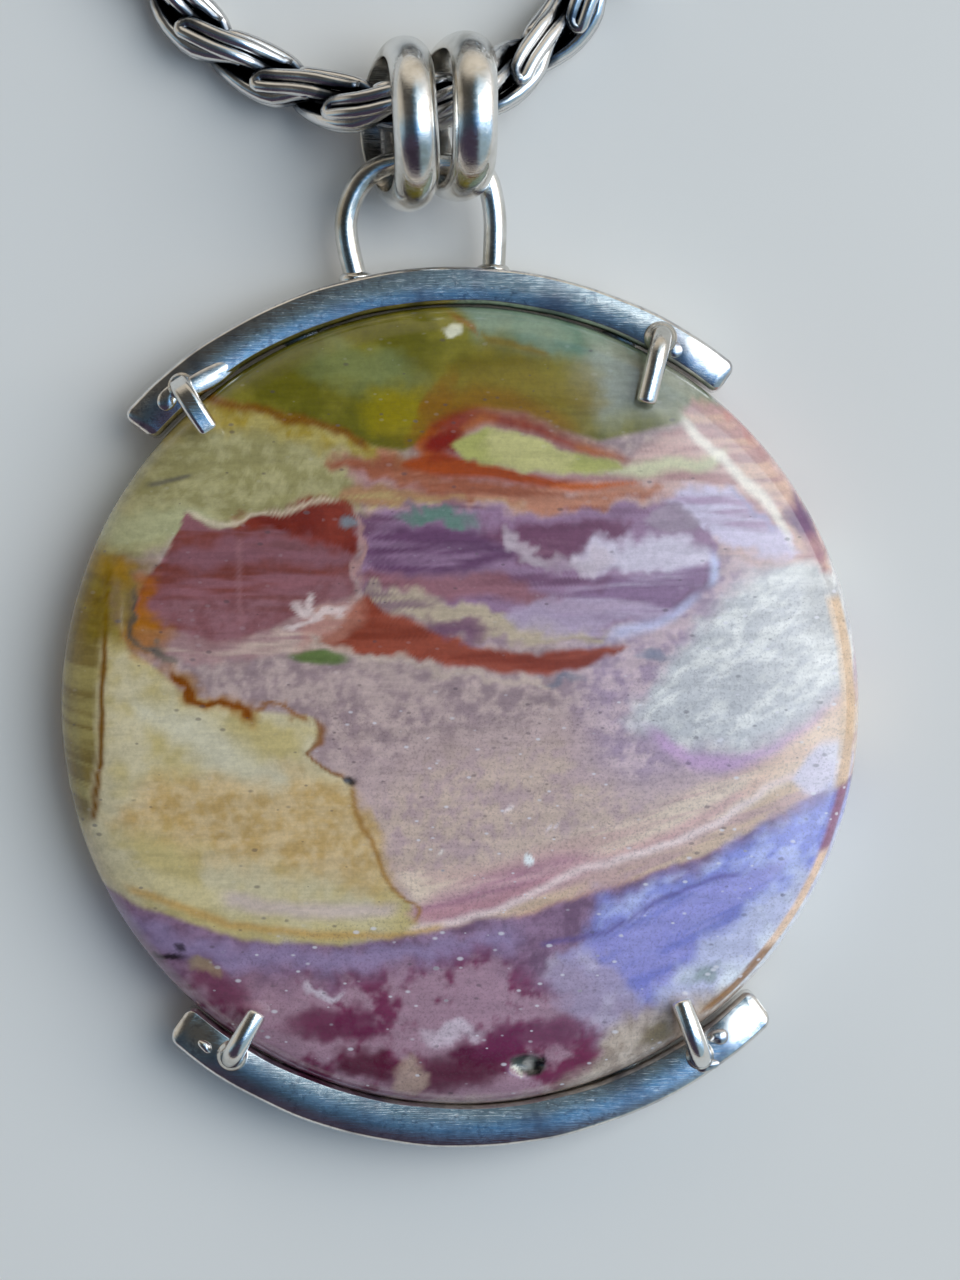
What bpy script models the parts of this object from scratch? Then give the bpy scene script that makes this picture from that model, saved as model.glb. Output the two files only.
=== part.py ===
"""A round polished mookaite stone in a handmade silver pendant setting, on a heavy braided chain.

The pendant lies on its back with its front facing +Z and its bail towards +Y. The origin is under
the middle of the pendant and bail, on the surface that they rest on. Metres throughout.

Every place in the plan is measured from the stone's centre, in millimetres, because the setting was
made around the stone. place() moves it into the object's frame.
"""

import math

import bmesh
import bpy
from mathutils import Vector

MM = 0.001

# Gap that keeps soldered neighbours from touching
SOLDER_GAP = 0.05

# Stone
STONE_CENTRE_Y = -6.43
STONE_RADIUS = 22.45
STONE_BACK = 1.05
STONE_TOP = 6.5
STONE_STEPS = 72
PIT_CENTRE = (3.8, -20.0)
PIT_HALF_LENGTH = 0.85
PIT_HALF_WIDTH = 0.5
PIT_DEPTH = 0.45
PIT_SURFACE = 5.43

# Back rails, on which the pendant rests
RAIL_OFFSET = 9.0
RAIL_WIDTH = 2.0
RAIL_THICKNESS = 1.0
RAIL_LOW_END = -22.8
RAIL_HIGH_END = 22.5

# The two bars: centre and radius of each edge, and the angles of the two ends
BAR_BOTTOM = RAIL_THICKNESS + SOLDER_GAP
BAR_TOP = 4.0
BAR_BEVEL = 0.2
BAR_STEPS = 26
UPPER_BAR = {
    "outer": ((-0.23, -0.62), 25.27),
    "inner": ((0.0, -0.54), 23.14),
    "ends": (51.3, 138.0),
}
LOWER_BAR = {
    "outer": ((0.05, 0.51), 25.35),
    "inner": ((0.09, 0.90), 23.40),
    "ends": (-130.6, -46.1),
}

# Prongs: root on the bar and tip over the stone
PRONG_RADIUS = 0.58
PRONG_BASE = BAR_TOP + SOLDER_GAP
PRONG_SHOULDER = 6.05
PRONG_TIP = 6.03
PRONG_TIP_RADIUS = 20.6
RIM_FALL = 0.18
PRONGS = {
    "prong_upper_left": ((-15.62, 17.91), (-13.90, 15.30)),
    "prong_upper_right": ((11.27, 20.62), (10.34, 16.81)),
    "prong_lower_left": ((-12.78, -19.65), (-11.21, -17.00)),
    "prong_lower_right": ((13.47, -19.65), (12.28, -16.35)),
}

# Hanging loop: a wire arch from the bar's outer edge, up to its crown and back
LOOP_RADIUS = 0.65
LOOP_FOOT_HEIGHT = 2.6
LOOP_CROWN_HEIGHT = 3.3
LOOP_ARCH = [
    (-5.87, 24.07),
    (-6.25, 25.6),
    (-6.44, 26.9),
    (-6.30, 28.0),
    (-5.85, 29.05),
    (-5.20, 29.85),
    (-4.40, 30.35),
    (-3.30, 30.6),
    (-2.20, 30.65),
    (-1.14, 30.5),
    (-0.30, 30.42),
    (0.50, 30.42),
    (1.12, 30.22),
    (1.58, 29.5),
    (1.84, 28.5),
    (1.97, 27.4),
    (1.97, 26.2),
    (1.90, 24.64),
]

# Bail: two half-round rings, side by side at the back and splayed apart at the front
BAND_WIDTH = 2.5
RING_STEPS = 40
RINGS = {
    "bail_ring_left": {
        "centre": (32.5, 4.9),
        "inner": 3.7,
        "outer": 4.9,
        "front_x": -2.43,
        "back_shift": -2.02,
        "turn": 0.23,
    },
    "bail_ring_right": {
        "centre": (32.95, 4.75),
        "inner": 3.73,
        "outer": 4.75,
        "front_x": 0.87,
        "back_shift": -2.72,
        "turn": 0.0,
    },
}
BACK_SHIFT_POWER = 1.8

# Chain: its route from the clasp through the bail to the coil, x, y and height of its centre
CHAIN_RADIUS = 1.65
CHAIN_STEP = 4.2
CHAIN_ROUTE = [
    (8.40, 41.9, 1.72),
    (6.92, 39.98, 1.72),
    (5.71, 38.38, 1.75),
    (4.62, 37.40, 2.0),
    (3.44, 36.35, 2.65),
    (2.25, 35.10, 3.55),
    (1.20, 34.40, 4.05),
    (0.20, 34.05, 4.2),
    (-0.95, 33.92, 4.25),
    (-2.63, 33.73, 4.15),
    (-4.40, 33.65, 4.0),
    (-5.70, 33.68, 3.85),
    (-6.95, 34.00, 3.3),
    (-8.15, 34.45, 2.5),
    (-9.45, 35.05, 1.95),
    (-10.90, 35.75, 1.75),
    (-12.40, 36.60, 1.72),
    (-13.75, 37.45, 1.72),
    (-14.95, 38.55, 1.72),
    (-16.20, 40.00, 1.72),
    (-17.60, 43.00, 1.72),
    (-18.65, 47.50, 1.72),
    (-19.10, 52.50, 1.72),
    (-18.95, 57.50, 1.72),
    (-18.55, 61.50, 1.72),
]
CHAIN_END_ROUTE = [
    (21.0, 58.2, 1.72),
    (20.0, 55.6, 1.72),
    (18.2, 53.2, 1.72),
]

# Coil of the length that is put away
COIL_CENTRE = (2.0, 71.5)
COIL_MIDDLE = 17.0
COIL_HALF_WIDTH = 3.4
COIL_HEIGHT = 6.8
COIL_STEPS = 64

# Clasp: a capped ring on one end, a capped hook on the other
CAP_RADIUS = 2.0
CAP_LENGTH = 3.2
CAP_GAP = 0.3
CLASP_WIRE = 0.6
CLASP_RING_RADIUS = 1.9
HOOK_RADIUS = 1.3

SILVER = ("silver", (0.80, 0.79, 0.76), 0.22, 1.0)
BRUSHED_SILVER = ("brushed_silver", (0.62, 0.65, 0.68), 0.38, 1.0)
DARK_SILVER = ("oxidised_silver", (0.34, 0.34, 0.35), 0.36, 1.0)
MOOKAITE = ("mookaite", (0.62, 0.48, 0.44), 0.12, 0.0)


def place(x, y, z):
    """A point of the plan, in millimetres from the stone's centre, in the object's frame."""
    return Vector((x, y + STONE_CENTRE_Y, z)) * MM


def clear_scene():
    for item in list(bpy.data.objects):
        bpy.data.objects.remove(item, do_unlink=True)


def finish(name, colour, roughness, metallic):
    """The material of one finish, made once and shared."""
    if name in bpy.data.materials:
        return bpy.data.materials[name]
    material = bpy.data.materials.new(name)
    material.use_nodes = True
    shader = material.node_tree.nodes["Principled BSDF"]
    shader.inputs["Base Color"].default_value = (*colour, 1.0)
    shader.inputs["Roughness"].default_value = roughness
    shader.inputs["Metallic"].default_value = metallic
    return material


def add_mesh(name, points, faces, looks, sharp_degrees=40):
    """A closed mesh object with its normals out and its round faces smooth."""
    mesh = bpy.data.meshes.new(name)
    mesh.from_pydata([tuple(p) for p in points], [], faces)
    work = bmesh.new()
    work.from_mesh(mesh)
    bmesh.ops.remove_doubles(work, verts=work.verts, dist=1e-7)
    bmesh.ops.recalc_face_normals(work, faces=work.faces)
    work.to_mesh(mesh)
    work.free()
    mesh.shade_smooth()
    mesh.set_sharp_from_angle(angle=math.radians(sharp_degrees))
    mesh.materials.append(finish(*looks))
    item = bpy.data.objects.new(name, mesh)
    bpy.context.collection.objects.link(item)
    return item


def turned(name, profile, steps, centre, looks):
    """A closed profile of (radius, height) turned about the upright line through centre."""
    on_axis = [r == 0 for r, _ in profile]
    points = []
    for step in range(steps):
        angle = 2 * math.pi * step / steps
        for r, z in profile:
            points.append(place(centre[0] + r * math.cos(angle), centre[1] + r * math.sin(angle), z))
    count = len(profile)
    faces = []
    for step in range(steps):
        here = step * count
        there = (step + 1) % steps * count
        for k in range(count):
            following = (k + 1) % count
            if on_axis[k] and on_axis[following]:
                continue
            corners = [here + k, there + k, there + following, here + following]
            if on_axis[k]:
                corners.remove(there + k)
            if on_axis[following]:
                corners.remove(there + following)
            faces.append(corners)
    return add_mesh(name, points, faces, looks)


def upright(name, outline, low, high, looks, bevel):
    """An outline in the plan, as a plate from one height to another with its edges broken."""
    count = len(outline)
    points = [place(x, y, low) for x, y in outline] + [place(x, y, high) for x, y in outline]
    faces = [list(range(count)), [count + k for k in range(count)]]
    for k in range(count):
        following = (k + 1) % count
        faces.append([k, following, count + following, count + k])
    item = add_mesh(name, points, faces, looks)
    soften = item.modifiers.new("broken_edges", "BEVEL")
    soften.width = bevel * MM
    soften.segments = 2
    soften.limit_method = "ANGLE"
    soften.angle_limit = math.radians(40)
    return item


def smooth_route(points, step):
    """Points about step apart on a smooth curve (Catmull-Rom) through the route's own points."""
    route = [Vector(p) for p in points]
    padded = [2 * route[0] - route[1], *route, 2 * route[-1] - route[-2]]
    fine = []
    for before, start, end, after in zip(padded, padded[1:], padded[2:], padded[3:]):
        for k in range(12):
            t = k / 12
            fine.append(
                0.5
                * (
                    2 * start
                    + (end - before) * t
                    + (2 * before - 5 * start + 4 * end - after) * t**2
                    + (3 * start - before - 3 * end + after) * t**3
                )
            )
    fine.append(route[-1])
    along = [0.0]
    for a, b in zip(fine, fine[1:]):
        along.append(along[-1] + (b - a).length)
    count = max(2, round(along[-1] / step) + 1)
    even = []
    k = 0
    for n in range(count):
        wanted = along[-1] * n / (count - 1)
        while k < len(along) - 2 and along[k + 1] < wanted:
            k += 1
        share = (wanted - along[k]) / (along[k + 1] - along[k])
        even.append(fine[k].lerp(fine[k + 1], min(share, 1.0)))
    return even


def wire(name, route, radius, looks, closed=False):
    """A round wire along points of the plan, as a bevelled curve with its ends filled."""
    curve = bpy.data.curves.new(name, "CURVE")
    curve.dimensions = "3D"
    curve.bevel_depth = radius * MM
    curve.bevel_resolution = 2
    curve.use_fill_caps = True
    spline = curve.splines.new("POLY")
    spline.points.add(len(route) - 1)
    for knot, point in zip(spline.points, route):
        knot.co = (*place(*point), 1.0)
    spline.use_cyclic_u = closed
    spline.use_smooth = True
    curve.materials.append(finish(*looks))
    item = bpy.data.objects.new(name, curve)
    bpy.context.collection.objects.link(item)
    return item


def make_stone():
    """The polished disc: flat back, upright edge, rounded over to a low dome."""
    side = STONE_RADIUS
    profile = [
        (0, STONE_BACK),
        (side - 0.9, STONE_BACK),
        (side - 0.15, STONE_BACK + 0.5),
        (side, STONE_BACK + 1.4),
        (side, STONE_BACK + 2.4),
        (side - 0.2, STONE_BACK + 3.15),
        (side - 0.65, STONE_BACK + 3.8),
        (side - 1.45, STONE_BACK + 4.25),
        (side - 3.4, STONE_BACK + 4.6),
        (side - 8.5, STONE_TOP - 0.42),
        (side - 14.5, STONE_TOP - 0.14),
        (0, STONE_TOP),
    ]
    stone = turned("stone", profile, STONE_STEPS, (0, 0), MOOKAITE)
    bpy.ops.mesh.primitive_uv_sphere_add(segments=14, ring_count=8, radius=MM)
    cutter = bpy.context.object
    cutter.name = "pit_cutter"
    cutter.location = place(*PIT_CENTRE, PIT_SURFACE + 0.15)
    cutter.scale = (PIT_HALF_LENGTH, PIT_HALF_WIDTH, PIT_DEPTH + 0.15)
    cutter.hide_render = True
    cutter.display_type = "WIRE"
    cut = stone.modifiers.new("pit", "BOOLEAN")
    cut.object = cutter
    cut.operation = "DIFFERENCE"
    return stone


def make_bar(name, bar):
    """A flat bar between two arcs whose centres differ a little, cut square to its run."""
    edges = []
    for edge in ("outer", "inner"):
        (cx, cy), radius = bar[edge]
        first, last = bar["ends"]
        arc = []
        for k in range(BAR_STEPS + 1):
            angle = math.radians(first + (last - first) * k / BAR_STEPS)
            arc.append((cx + radius * math.cos(angle), cy + radius * math.sin(angle)))
        edges.append(arc)
    outline = edges[0] + edges[1][::-1]
    return upright(name, outline, BAR_BOTTOM, BAR_TOP, BRUSHED_SILVER, BAR_BEVEL)


def make_rail(name, x):
    half = RAIL_WIDTH / 2
    outline = [
        (x - half, RAIL_LOW_END),
        (x + half, RAIL_LOW_END),
        (x + half, RAIL_HIGH_END),
        (x - half, RAIL_HIGH_END),
    ]
    return upright(name, outline, 0.0, RAIL_THICKNESS, BRUSHED_SILVER, BAR_BEVEL)


def make_prong(name, root, tip):
    """A wire that stands on the bar, bends over at its shoulder and lies in towards its tip."""

    def between(share, height):
        return (
            root[0] + (tip[0] - root[0]) * share,
            root[1] + (tip[1] - root[1]) * share,
            height,
        )

    tip_height = PRONG_TIP + RIM_FALL * (PRONG_TIP_RADIUS - math.hypot(*tip))
    route = [
        between(0.0, PRONG_BASE),
        between(0.0, PRONG_BASE + 0.8),
        between(0.02, PRONG_SHOULDER - 0.8),
        between(0.16, PRONG_SHOULDER - 0.08),
        between(0.40, PRONG_SHOULDER + 0.2),
        between(0.70, PRONG_SHOULDER + 0.19),
        between(1.0, tip_height),
    ]
    return wire(name, smooth_route(route, 0.55), PRONG_RADIUS, SILVER)


def make_loop():
    """The arch, which climbs from the bar's outer edge to its crown."""
    low = LOOP_ARCH[0][1]
    high = max(y for _, y in LOOP_ARCH)
    route = []
    for x, y in LOOP_ARCH:
        rise = min(max((y - low) / (high - low), 0.0), 1.0)
        route.append((x, y, LOOP_FOOT_HEIGHT + (LOOP_CROWN_HEIGHT - LOOP_FOOT_HEIGHT) * rise))
    return wire("hanging_loop", smooth_route(route, 0.75), LOOP_RADIUS, SILVER)


def make_ring(name, ring):
    """A half-round band closed in a ring that stands on its back and leans over at its front.

    The angle runs from the front (highest) over the far end (+Y), the back and the near end.
    """
    depth = ring["outer"] - ring["inner"]
    half = BAND_WIDTH / 2
    section = [(-half, 0.12), (-half + 0.1, 0.0), (half - 0.1, 0.0), (half, 0.12)]
    for k in range(1, 6):
        angle = math.pi * k / 6
        section.append((half * math.cos(angle), 0.12 + (depth - 0.12) * math.sin(angle)))
    centre_y, centre_z = ring["centre"]

    def spine(angle):
        back = ((1 - math.cos(angle)) / 2) ** BACK_SHIFT_POWER
        x = ring["front_x"] + ring["back_shift"] * back - ring["turn"] * math.sin(angle)
        y = centre_y + ring["inner"] * math.sin(angle)
        z = centre_z + ring["inner"] * math.cos(angle)
        return Vector((x, y, z))

    points = []
    for step in range(RING_STEPS):
        angle = 2 * math.pi * step / RING_STEPS
        along = (spine(angle + 0.01) - spine(angle - 0.01)).normalized()
        outward = Vector((0, math.sin(angle), math.cos(angle)))
        across = along.cross(outward).normalized()
        if across.x < 0:
            across = -across
        for w, t in section:
            points.append(place(*(spine(angle) + across * w + outward * t)))
    count = len(section)
    faces = []
    for step in range(RING_STEPS):
        here = step * count
        there = (step + 1) % RING_STEPS * count
        for k in range(count):
            following = (k + 1) % count
            faces.append([here + k, here + following, there + following, there + k])
    return add_mesh(name, points, faces, SILVER)


def make_chain():
    """The stretch from the clasp through the bail to the coil, the coil, and the last stretch."""
    wire("chain", smooth_route(CHAIN_ROUTE, CHAIN_STEP), CHAIN_RADIUS, DARK_SILVER)
    wire("chain_end", smooth_route(CHAIN_END_ROUTE, CHAIN_STEP), CHAIN_RADIUS, DARK_SILVER)
    inner = COIL_MIDDLE - COIL_HALF_WIDTH
    outer = COIL_MIDDLE + COIL_HALF_WIDTH
    corner = 1.0
    profile = [
        (inner, corner),
        (inner + corner, 0.0),
        (outer - corner, 0.0),
        (outer, corner),
        (outer, COIL_HEIGHT - corner),
        (outer - corner, COIL_HEIGHT),
        (inner + corner, COIL_HEIGHT),
        (inner, COIL_HEIGHT - corner),
    ]
    turned("chain_coil", profile, COIL_STEPS, COIL_CENTRE, DARK_SILVER)


def make_clasp():
    """A cap with a ring on the chain's near end, and a cap with a hook through it on the other."""
    start = Vector(CHAIN_ROUTE[0])
    away = (start - Vector(CHAIN_ROUTE[1])).normalized()
    away.z = 0.0
    end = Vector(CHAIN_END_ROUTE[-1])
    back = (end - Vector(CHAIN_END_ROUTE[-2])).normalized()
    back.z = 0.0

    def cap(name, face, direction):
        first = face + direction * CAP_GAP
        last = first + direction * CAP_LENGTH
        first.z = CAP_RADIUS
        last.z = CAP_RADIUS
        wire(name, [tuple(first), tuple(last)], CAP_RADIUS, SILVER)
        return last

    near = cap("chain_cap_ring", start, away)
    far = cap("chain_cap_hook", end, back)
    centre = near + away * (SOLDER_GAP + CLASP_WIRE + CLASP_RING_RADIUS)
    ring = []
    for k in range(20):
        angle = 2 * math.pi * k / 20
        ring.append(
            (
                centre.x + CLASP_RING_RADIUS * math.cos(angle),
                centre.y + CLASP_RING_RADIUS * math.sin(angle),
                CAP_RADIUS,
            )
        )
    wire("clasp_ring", ring, CLASP_WIRE, SILVER, closed=True)
    reach = centre - far
    reach.z = 0.0
    run = reach.length
    ahead = reach.normalized()
    stem = far + ahead * CAP_GAP
    hook = [
        stem,
        far + ahead * 0.9 + Vector((0, 0, 0.03)),
        far + ahead * 1.8 + Vector((0, 0, 0.6)),
        far + ahead * (run - HOOK_RADIUS - 0.9) + Vector((0, 0, 1.3)),
        far + ahead * (run - 0.7) + Vector((0, 0, 1.35)),
        far + ahead * (run + 0.15) + Vector((0, 0, 0.55)),
        far + ahead * (run + 0.1) + Vector((0, 0, -0.45)),
        far + ahead * (run - 0.55) + Vector((0, 0, -1.15)),
    ]
    wire("clasp_hook", smooth_route(hook, 0.6), CLASP_WIRE, SILVER)


def main():
    clear_scene()
    make_stone()
    make_bar("upper_bar", UPPER_BAR)
    make_bar("lower_bar", LOWER_BAR)
    make_rail("back_rail_left", -RAIL_OFFSET)
    make_rail("back_rail_right", RAIL_OFFSET)
    for name, (root, tip) in PRONGS.items():
        make_prong(name, root, tip)
    make_loop()
    for name, ring in RINGS.items():
        make_ring(name, ring)
    make_chain()
    make_clasp()


main()
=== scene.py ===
"""Looks of a mookaite pendant: a round polished stone in a handmade silver setting, on a woven chain.

The CAD model gives the place and size of every piece. This script makes each piece again as a fine
surface, gives it its finish, lays the whole chain along its real route, and lights it.

Places in the plan are in millimetres from the stone's centre, as a maker would measure them, and
to_frame() moves them into the frame. The stone's markings are drawn in the photograph's pixels, which
the finish works out from the object's own coordinates.
"""

import logging
import math
from dataclasses import dataclass
from enum import Enum

import bmesh
import bpy
import numpy as np
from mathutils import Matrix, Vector


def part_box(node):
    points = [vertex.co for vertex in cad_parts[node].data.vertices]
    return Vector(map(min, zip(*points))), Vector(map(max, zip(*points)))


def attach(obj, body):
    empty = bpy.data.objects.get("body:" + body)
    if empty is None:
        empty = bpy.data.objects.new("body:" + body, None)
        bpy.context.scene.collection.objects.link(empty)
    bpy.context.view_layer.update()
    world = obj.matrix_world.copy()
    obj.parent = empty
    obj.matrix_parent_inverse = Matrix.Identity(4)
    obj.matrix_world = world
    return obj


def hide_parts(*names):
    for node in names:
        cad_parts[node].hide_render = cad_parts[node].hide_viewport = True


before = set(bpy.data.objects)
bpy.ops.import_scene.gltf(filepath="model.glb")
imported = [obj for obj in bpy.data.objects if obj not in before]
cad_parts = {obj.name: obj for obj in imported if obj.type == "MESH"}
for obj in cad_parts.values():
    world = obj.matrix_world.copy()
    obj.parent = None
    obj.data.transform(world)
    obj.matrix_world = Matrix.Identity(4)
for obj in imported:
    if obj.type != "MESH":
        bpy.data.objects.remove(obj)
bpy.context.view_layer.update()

LOG = logging.getLogger("mookaite_pendant")

MM = 0.001
UP = np.array([0.0, 0.0, 1.0])
LEVEL = np.array([1.0, 1.0, 0.0])
STONE_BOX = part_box("stone")
STONE_CENTRE = (np.array(STONE_BOX[0]) + np.array(STONE_BOX[1])) / 2 / MM
# The softest edge that the stone's mesh can carry, in the photograph's pixels
LEAST_EDGE = 3.4

Array = np.ndarray
Socket = bpy.types.NodeSocket
Colour = tuple[float, float, float]
Point = tuple[float, float, float]
Spot = tuple[float, float]
Edge = tuple[Spot, ...]


class Body(Enum):
    """The bodies that a piece can ride on."""

    NECKLACE = "necklace"
    BAIL = "bail"
    PENDANT = "pendant"


class Slot(Enum):
    """The record's material slots."""

    STONE = "mookaite"
    SILVER = "silver"
    BRUSHED = "brushed_silver"
    DARK = "oxidised_silver"


def to_frame(points: Array) -> Array:
    """Rows of x, y and height in millimetres from the stone's centre, as metres in the frame."""
    offset = np.array([STONE_CENTRE[0], STONE_CENTRE[1], 0.0])
    return (np.asarray(points, float) + offset) * MM


def linear(colour: Colour) -> tuple[float, float, float, float]:
    """A colour as the eye sees it, 0 to 255 a channel, as a shader's linear values and an alpha of 1."""
    part = [((c / 255 + 0.055) / 1.055) ** 2.4 if c > 10 else c / 255 / 12.92 for c in colour]
    return (part[0], part[1], part[2], 1.0)


def unit(vectors: Array) -> Array:
    """Each row divided by its length."""
    return vectors / np.maximum(np.linalg.norm(vectors, axis=-1, keepdims=True), 1e-12)


def ease(values: Array) -> Array:
    """The smooth step 3t^2 - 2t^3 of values t held between 0 and 1."""
    t = np.clip(values, 0.0, 1.0)
    return t * t * (3 - 2 * t)


def fractal(u: Array, v: Array, size: float, octaves: int, rough: float, seed: int) -> Array:
    """Fractal noise: smoothly blended random numbers on ever finer lattices, each turned and weaker.

    Args:
        u: Across.
        v: Down.
        size: The coarsest lattice's step.
        octaves: How many lattices there are, each half as wide as the one before.
        rough: How strong each is beside the one before.
        seed: Picks the random numbers.

    Returns:
        Numbers around 0, mostly between -1 and 1 or a little more.
    """
    period = 61
    numbers = np.random.default_rng(seed).random((period, period)) - 0.5
    total = np.zeros_like(u)
    weights = rough ** np.arange(octaves)
    for k, weight in enumerate(weights):
        turn = 0.4 + 0.8 * k
        x = (u * math.cos(turn) - v * math.sin(turn)) * 2**k / size + 9.7 * k
        y = (u * math.sin(turn) + v * math.cos(turn)) * 2**k / size
        column, row = np.floor(x).astype(int), np.floor(y).astype(int)
        along, down = ease(x - column), ease(y - row)
        corners = [numbers[(row + j) % period, (column + i) % period] for j in (0, 1) for i in (0, 1)]
        upper = corners[0] + (corners[1] - corners[0]) * along
        under = corners[2] + (corners[3] - corners[2]) * along
        total += weight * (upper + (under - upper) * down)
    return total / (0.2 * np.sqrt(np.sum(weights**2)))


def bent(points: Edge, places: Array, rounding: float) -> Array:
    """A line's height at each place, its corners rounded: the mean of its heights before, at and after."""
    x, y = np.array(points, float).T
    return sum(np.interp(places + step, x, y) for step in (-rounding, 0.0, rounding)) / 3


def lengths_along(path: Array) -> Array:
    """The distance of each point of a path from its start."""
    return np.concatenate([[0.0], np.cumsum(np.linalg.norm(np.diff(path, axis=0), axis=1))])


def at_lengths(path: Array, along: Array, wanted: Array) -> Array:
    """The path's points at the wanted distances, where its own points lie at the distances along."""
    return np.stack([np.interp(wanted, along, path[:, k]) for k in range(3)], axis=-1)


def smooth_route(points: list[Point], step: float) -> Array:
    """Even points on the smooth curve through given ones.

    The curve is the Catmull-Rom cubic: between two points it leaves and arrives parallel to the line
    from the point before to the point after. It is walked at equal distances.

    Args:
        points: The points to pass through, in millimetres.
        step: About how far apart the points of the result are, in millimetres.

    Returns:
        Rows of x, y, z along the curve, ends included.
    """
    route = np.array(points, float)
    padded = np.vstack([2 * route[0] - route[1], route, 2 * route[-1] - route[-2]])
    t = np.linspace(0, 1, 16, endpoint=False)[None, :, None]
    before, start, end, after = (padded[k : len(padded) - 3 + k, None, :] for k in range(4))
    bend = 2 * before - 5 * start + 4 * end - after
    twist = 3 * start - before - 3 * end + after
    fine = 0.5 * (2 * start + (end - before) * t + bend * t**2 + twist * t**3)
    fine = np.vstack([fine.reshape(-1, 3), route[-1]])
    along = lengths_along(fine)
    return at_lengths(fine, along, np.linspace(0, along[-1], max(3, round(along[-1] / step) + 1)))


def grid_faces(rows: int, columns: int, wrap_rows: bool, wrap_columns: bool, first: int = 0) -> Array:
    """The quads of a grid of points that is stored row after row.

    Args:
        rows: How many rows.
        columns: How many points in a row.
        wrap_rows: Whether the last row joins the first.
        wrap_columns: Whether the last point of a row joins its first.
        first: Number of the grid's first point.

    Returns:
        Rows of four point numbers.
    """
    r = np.arange(rows if wrap_rows else rows - 1)[:, None]
    c = np.arange(columns if wrap_columns else columns - 1)[None, :]
    right = (c + 1) % columns
    below = (r + 1) % rows
    quads = [r * columns + c, r * columns + right, below * columns + right, below * columns + c]
    return np.stack(quads, axis=-1).reshape(-1, 4) + first


def joined(*parts: tuple) -> tuple:
    """Several surfaces as one.

    Args:
        *parts: Tuples of points, faces and, if all have it, one number a point.

    Returns:
        Points, faces and numbers, or points and faces.
    """
    points, faces, numbers, first = [], [], [], 0
    for part in parts:
        points.append(part[0])
        faces.extend([[int(n) + first for n in face] for face in part[1]])
        if len(part) > 2:
            numbers.append(part[2])
        first += len(part[0])
    merged = (np.vstack(points), faces)
    return (*merged, np.concatenate(numbers)) if numbers else merged


def face_outwards(mesh: bpy.types.Mesh) -> None:
    """Turns the faces of every closed shell in a mesh outwards.

    Args:
        mesh: The mesh, which keeps its points and their values.
    """
    shells = bmesh.new()
    shells.from_mesh(mesh)
    bmesh.ops.recalc_face_normals(shells, faces=shells.faces)
    shells.to_mesh(mesh)
    shells.free()


def add_object(name: str, data: bpy.types.ID) -> bpy.types.Object:
    """Puts an object that shows a mesh, a light or a camera at the frame's origin.

    Args:
        name: The object's name.
        data: What it shows.

    Returns:
        The object.
    """
    made = bpy.data.objects.new(name, data)
    bpy.context.scene.collection.objects.link(made)
    return made


def make_piece(
    name: str,
    points: Array,
    faces: list,
    material: bpy.types.Material,
    sharp_degrees: float = 180.0,
    values: dict[str, Array] | None = None,
) -> bpy.types.Object:
    """A mesh object at the frame's origin, smooth but for its sharp edges.

    Args:
        name: The piece's name.
        points: Rows of x, y, height in millimetres from the stone's centre.
        faces: Lists of point numbers.
        material: Its finish.
        sharp_degrees: Edges that turn more than this stay sharp.
        values: Names and one number or one colour a point, which the finish reads as attributes.

    Returns:
        The new object.
    """
    mesh = bpy.data.meshes.new(name)
    mesh.from_pydata(to_frame(points).tolist(), [], [list(map(int, f)) for f in faces])
    for key, numbers in (values or {}).items():
        plain = np.ndim(numbers) == 1
        layer = mesh.attributes.new(key, "FLOAT" if plain else "FLOAT_COLOR", "POINT")
        layer.data.foreach_set("value" if plain else "color", np.asarray(numbers, np.float32).ravel())
    mesh.validate()
    # The floor's one face is no shell and has no outside
    if len(faces) > 1:
        face_outwards(mesh)
    mesh.shade_smooth()
    if sharp_degrees < 180:
        mesh.set_sharp_from_angle(angle=math.radians(sharp_degrees))
    mesh.materials.append(material)
    return add_object(name, mesh)


def finish_piece(piece: bpy.types.Object, body: Body, slot: Slot, *nodes: str) -> bpy.types.Object:
    """Makes a piece ride on its body and stand for its CAD nodes, and reports it.

    Args:
        piece: The finished piece.
        body: The body that it moves with.
        slot: The record's slot of its finish; not used.
        *nodes: The CAD nodes that it replaces.

    Returns:
        The piece.
    """
    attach(piece, body.value)
    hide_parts(*nodes)
    LOG.info("%s: %d faces on %s", piece.name, len(piece.data.polygons), body.value)
    return piece


def ring_section(sides: int, radius: float) -> Array:
    """Points on a circle, anticlockwise: the radius times the cosine and sine of equal angles."""
    angle = np.linspace(0, 2 * math.pi, sides, endpoint=False)
    return np.stack([np.cos(angle), np.sin(angle)], axis=1) * radius


def corner_steps(count: int, edge: float, power: float = 1.0) -> list[tuple[int, int, Array]]:
    """The steps round a rectangle's four corners, anticlockwise from the upper right one.

    Args:
        count: How many steps a corner has.
        edge: How far in a corner begins.
        power: 1 for a round corner, and more for one that is nearly a straight slope.

    Returns:
        For each step the corner's side across and up, as 1 or -1, and edge * (cos ^ power, sin ^ power).
    """
    steps = []
    corners = ((1, 1), (-1, 1), (-1, -1), (1, -1))
    for quarter, (side_x, side_y) in enumerate(corners):
        for turn in math.pi / 2 * quarter + np.linspace(0, math.pi / 2, count):
            push = np.array([math.cos(turn), math.sin(turn)])
            steps.append((side_x, side_y, np.sign(push) * np.abs(push) ** power * edge))
    return steps


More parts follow.
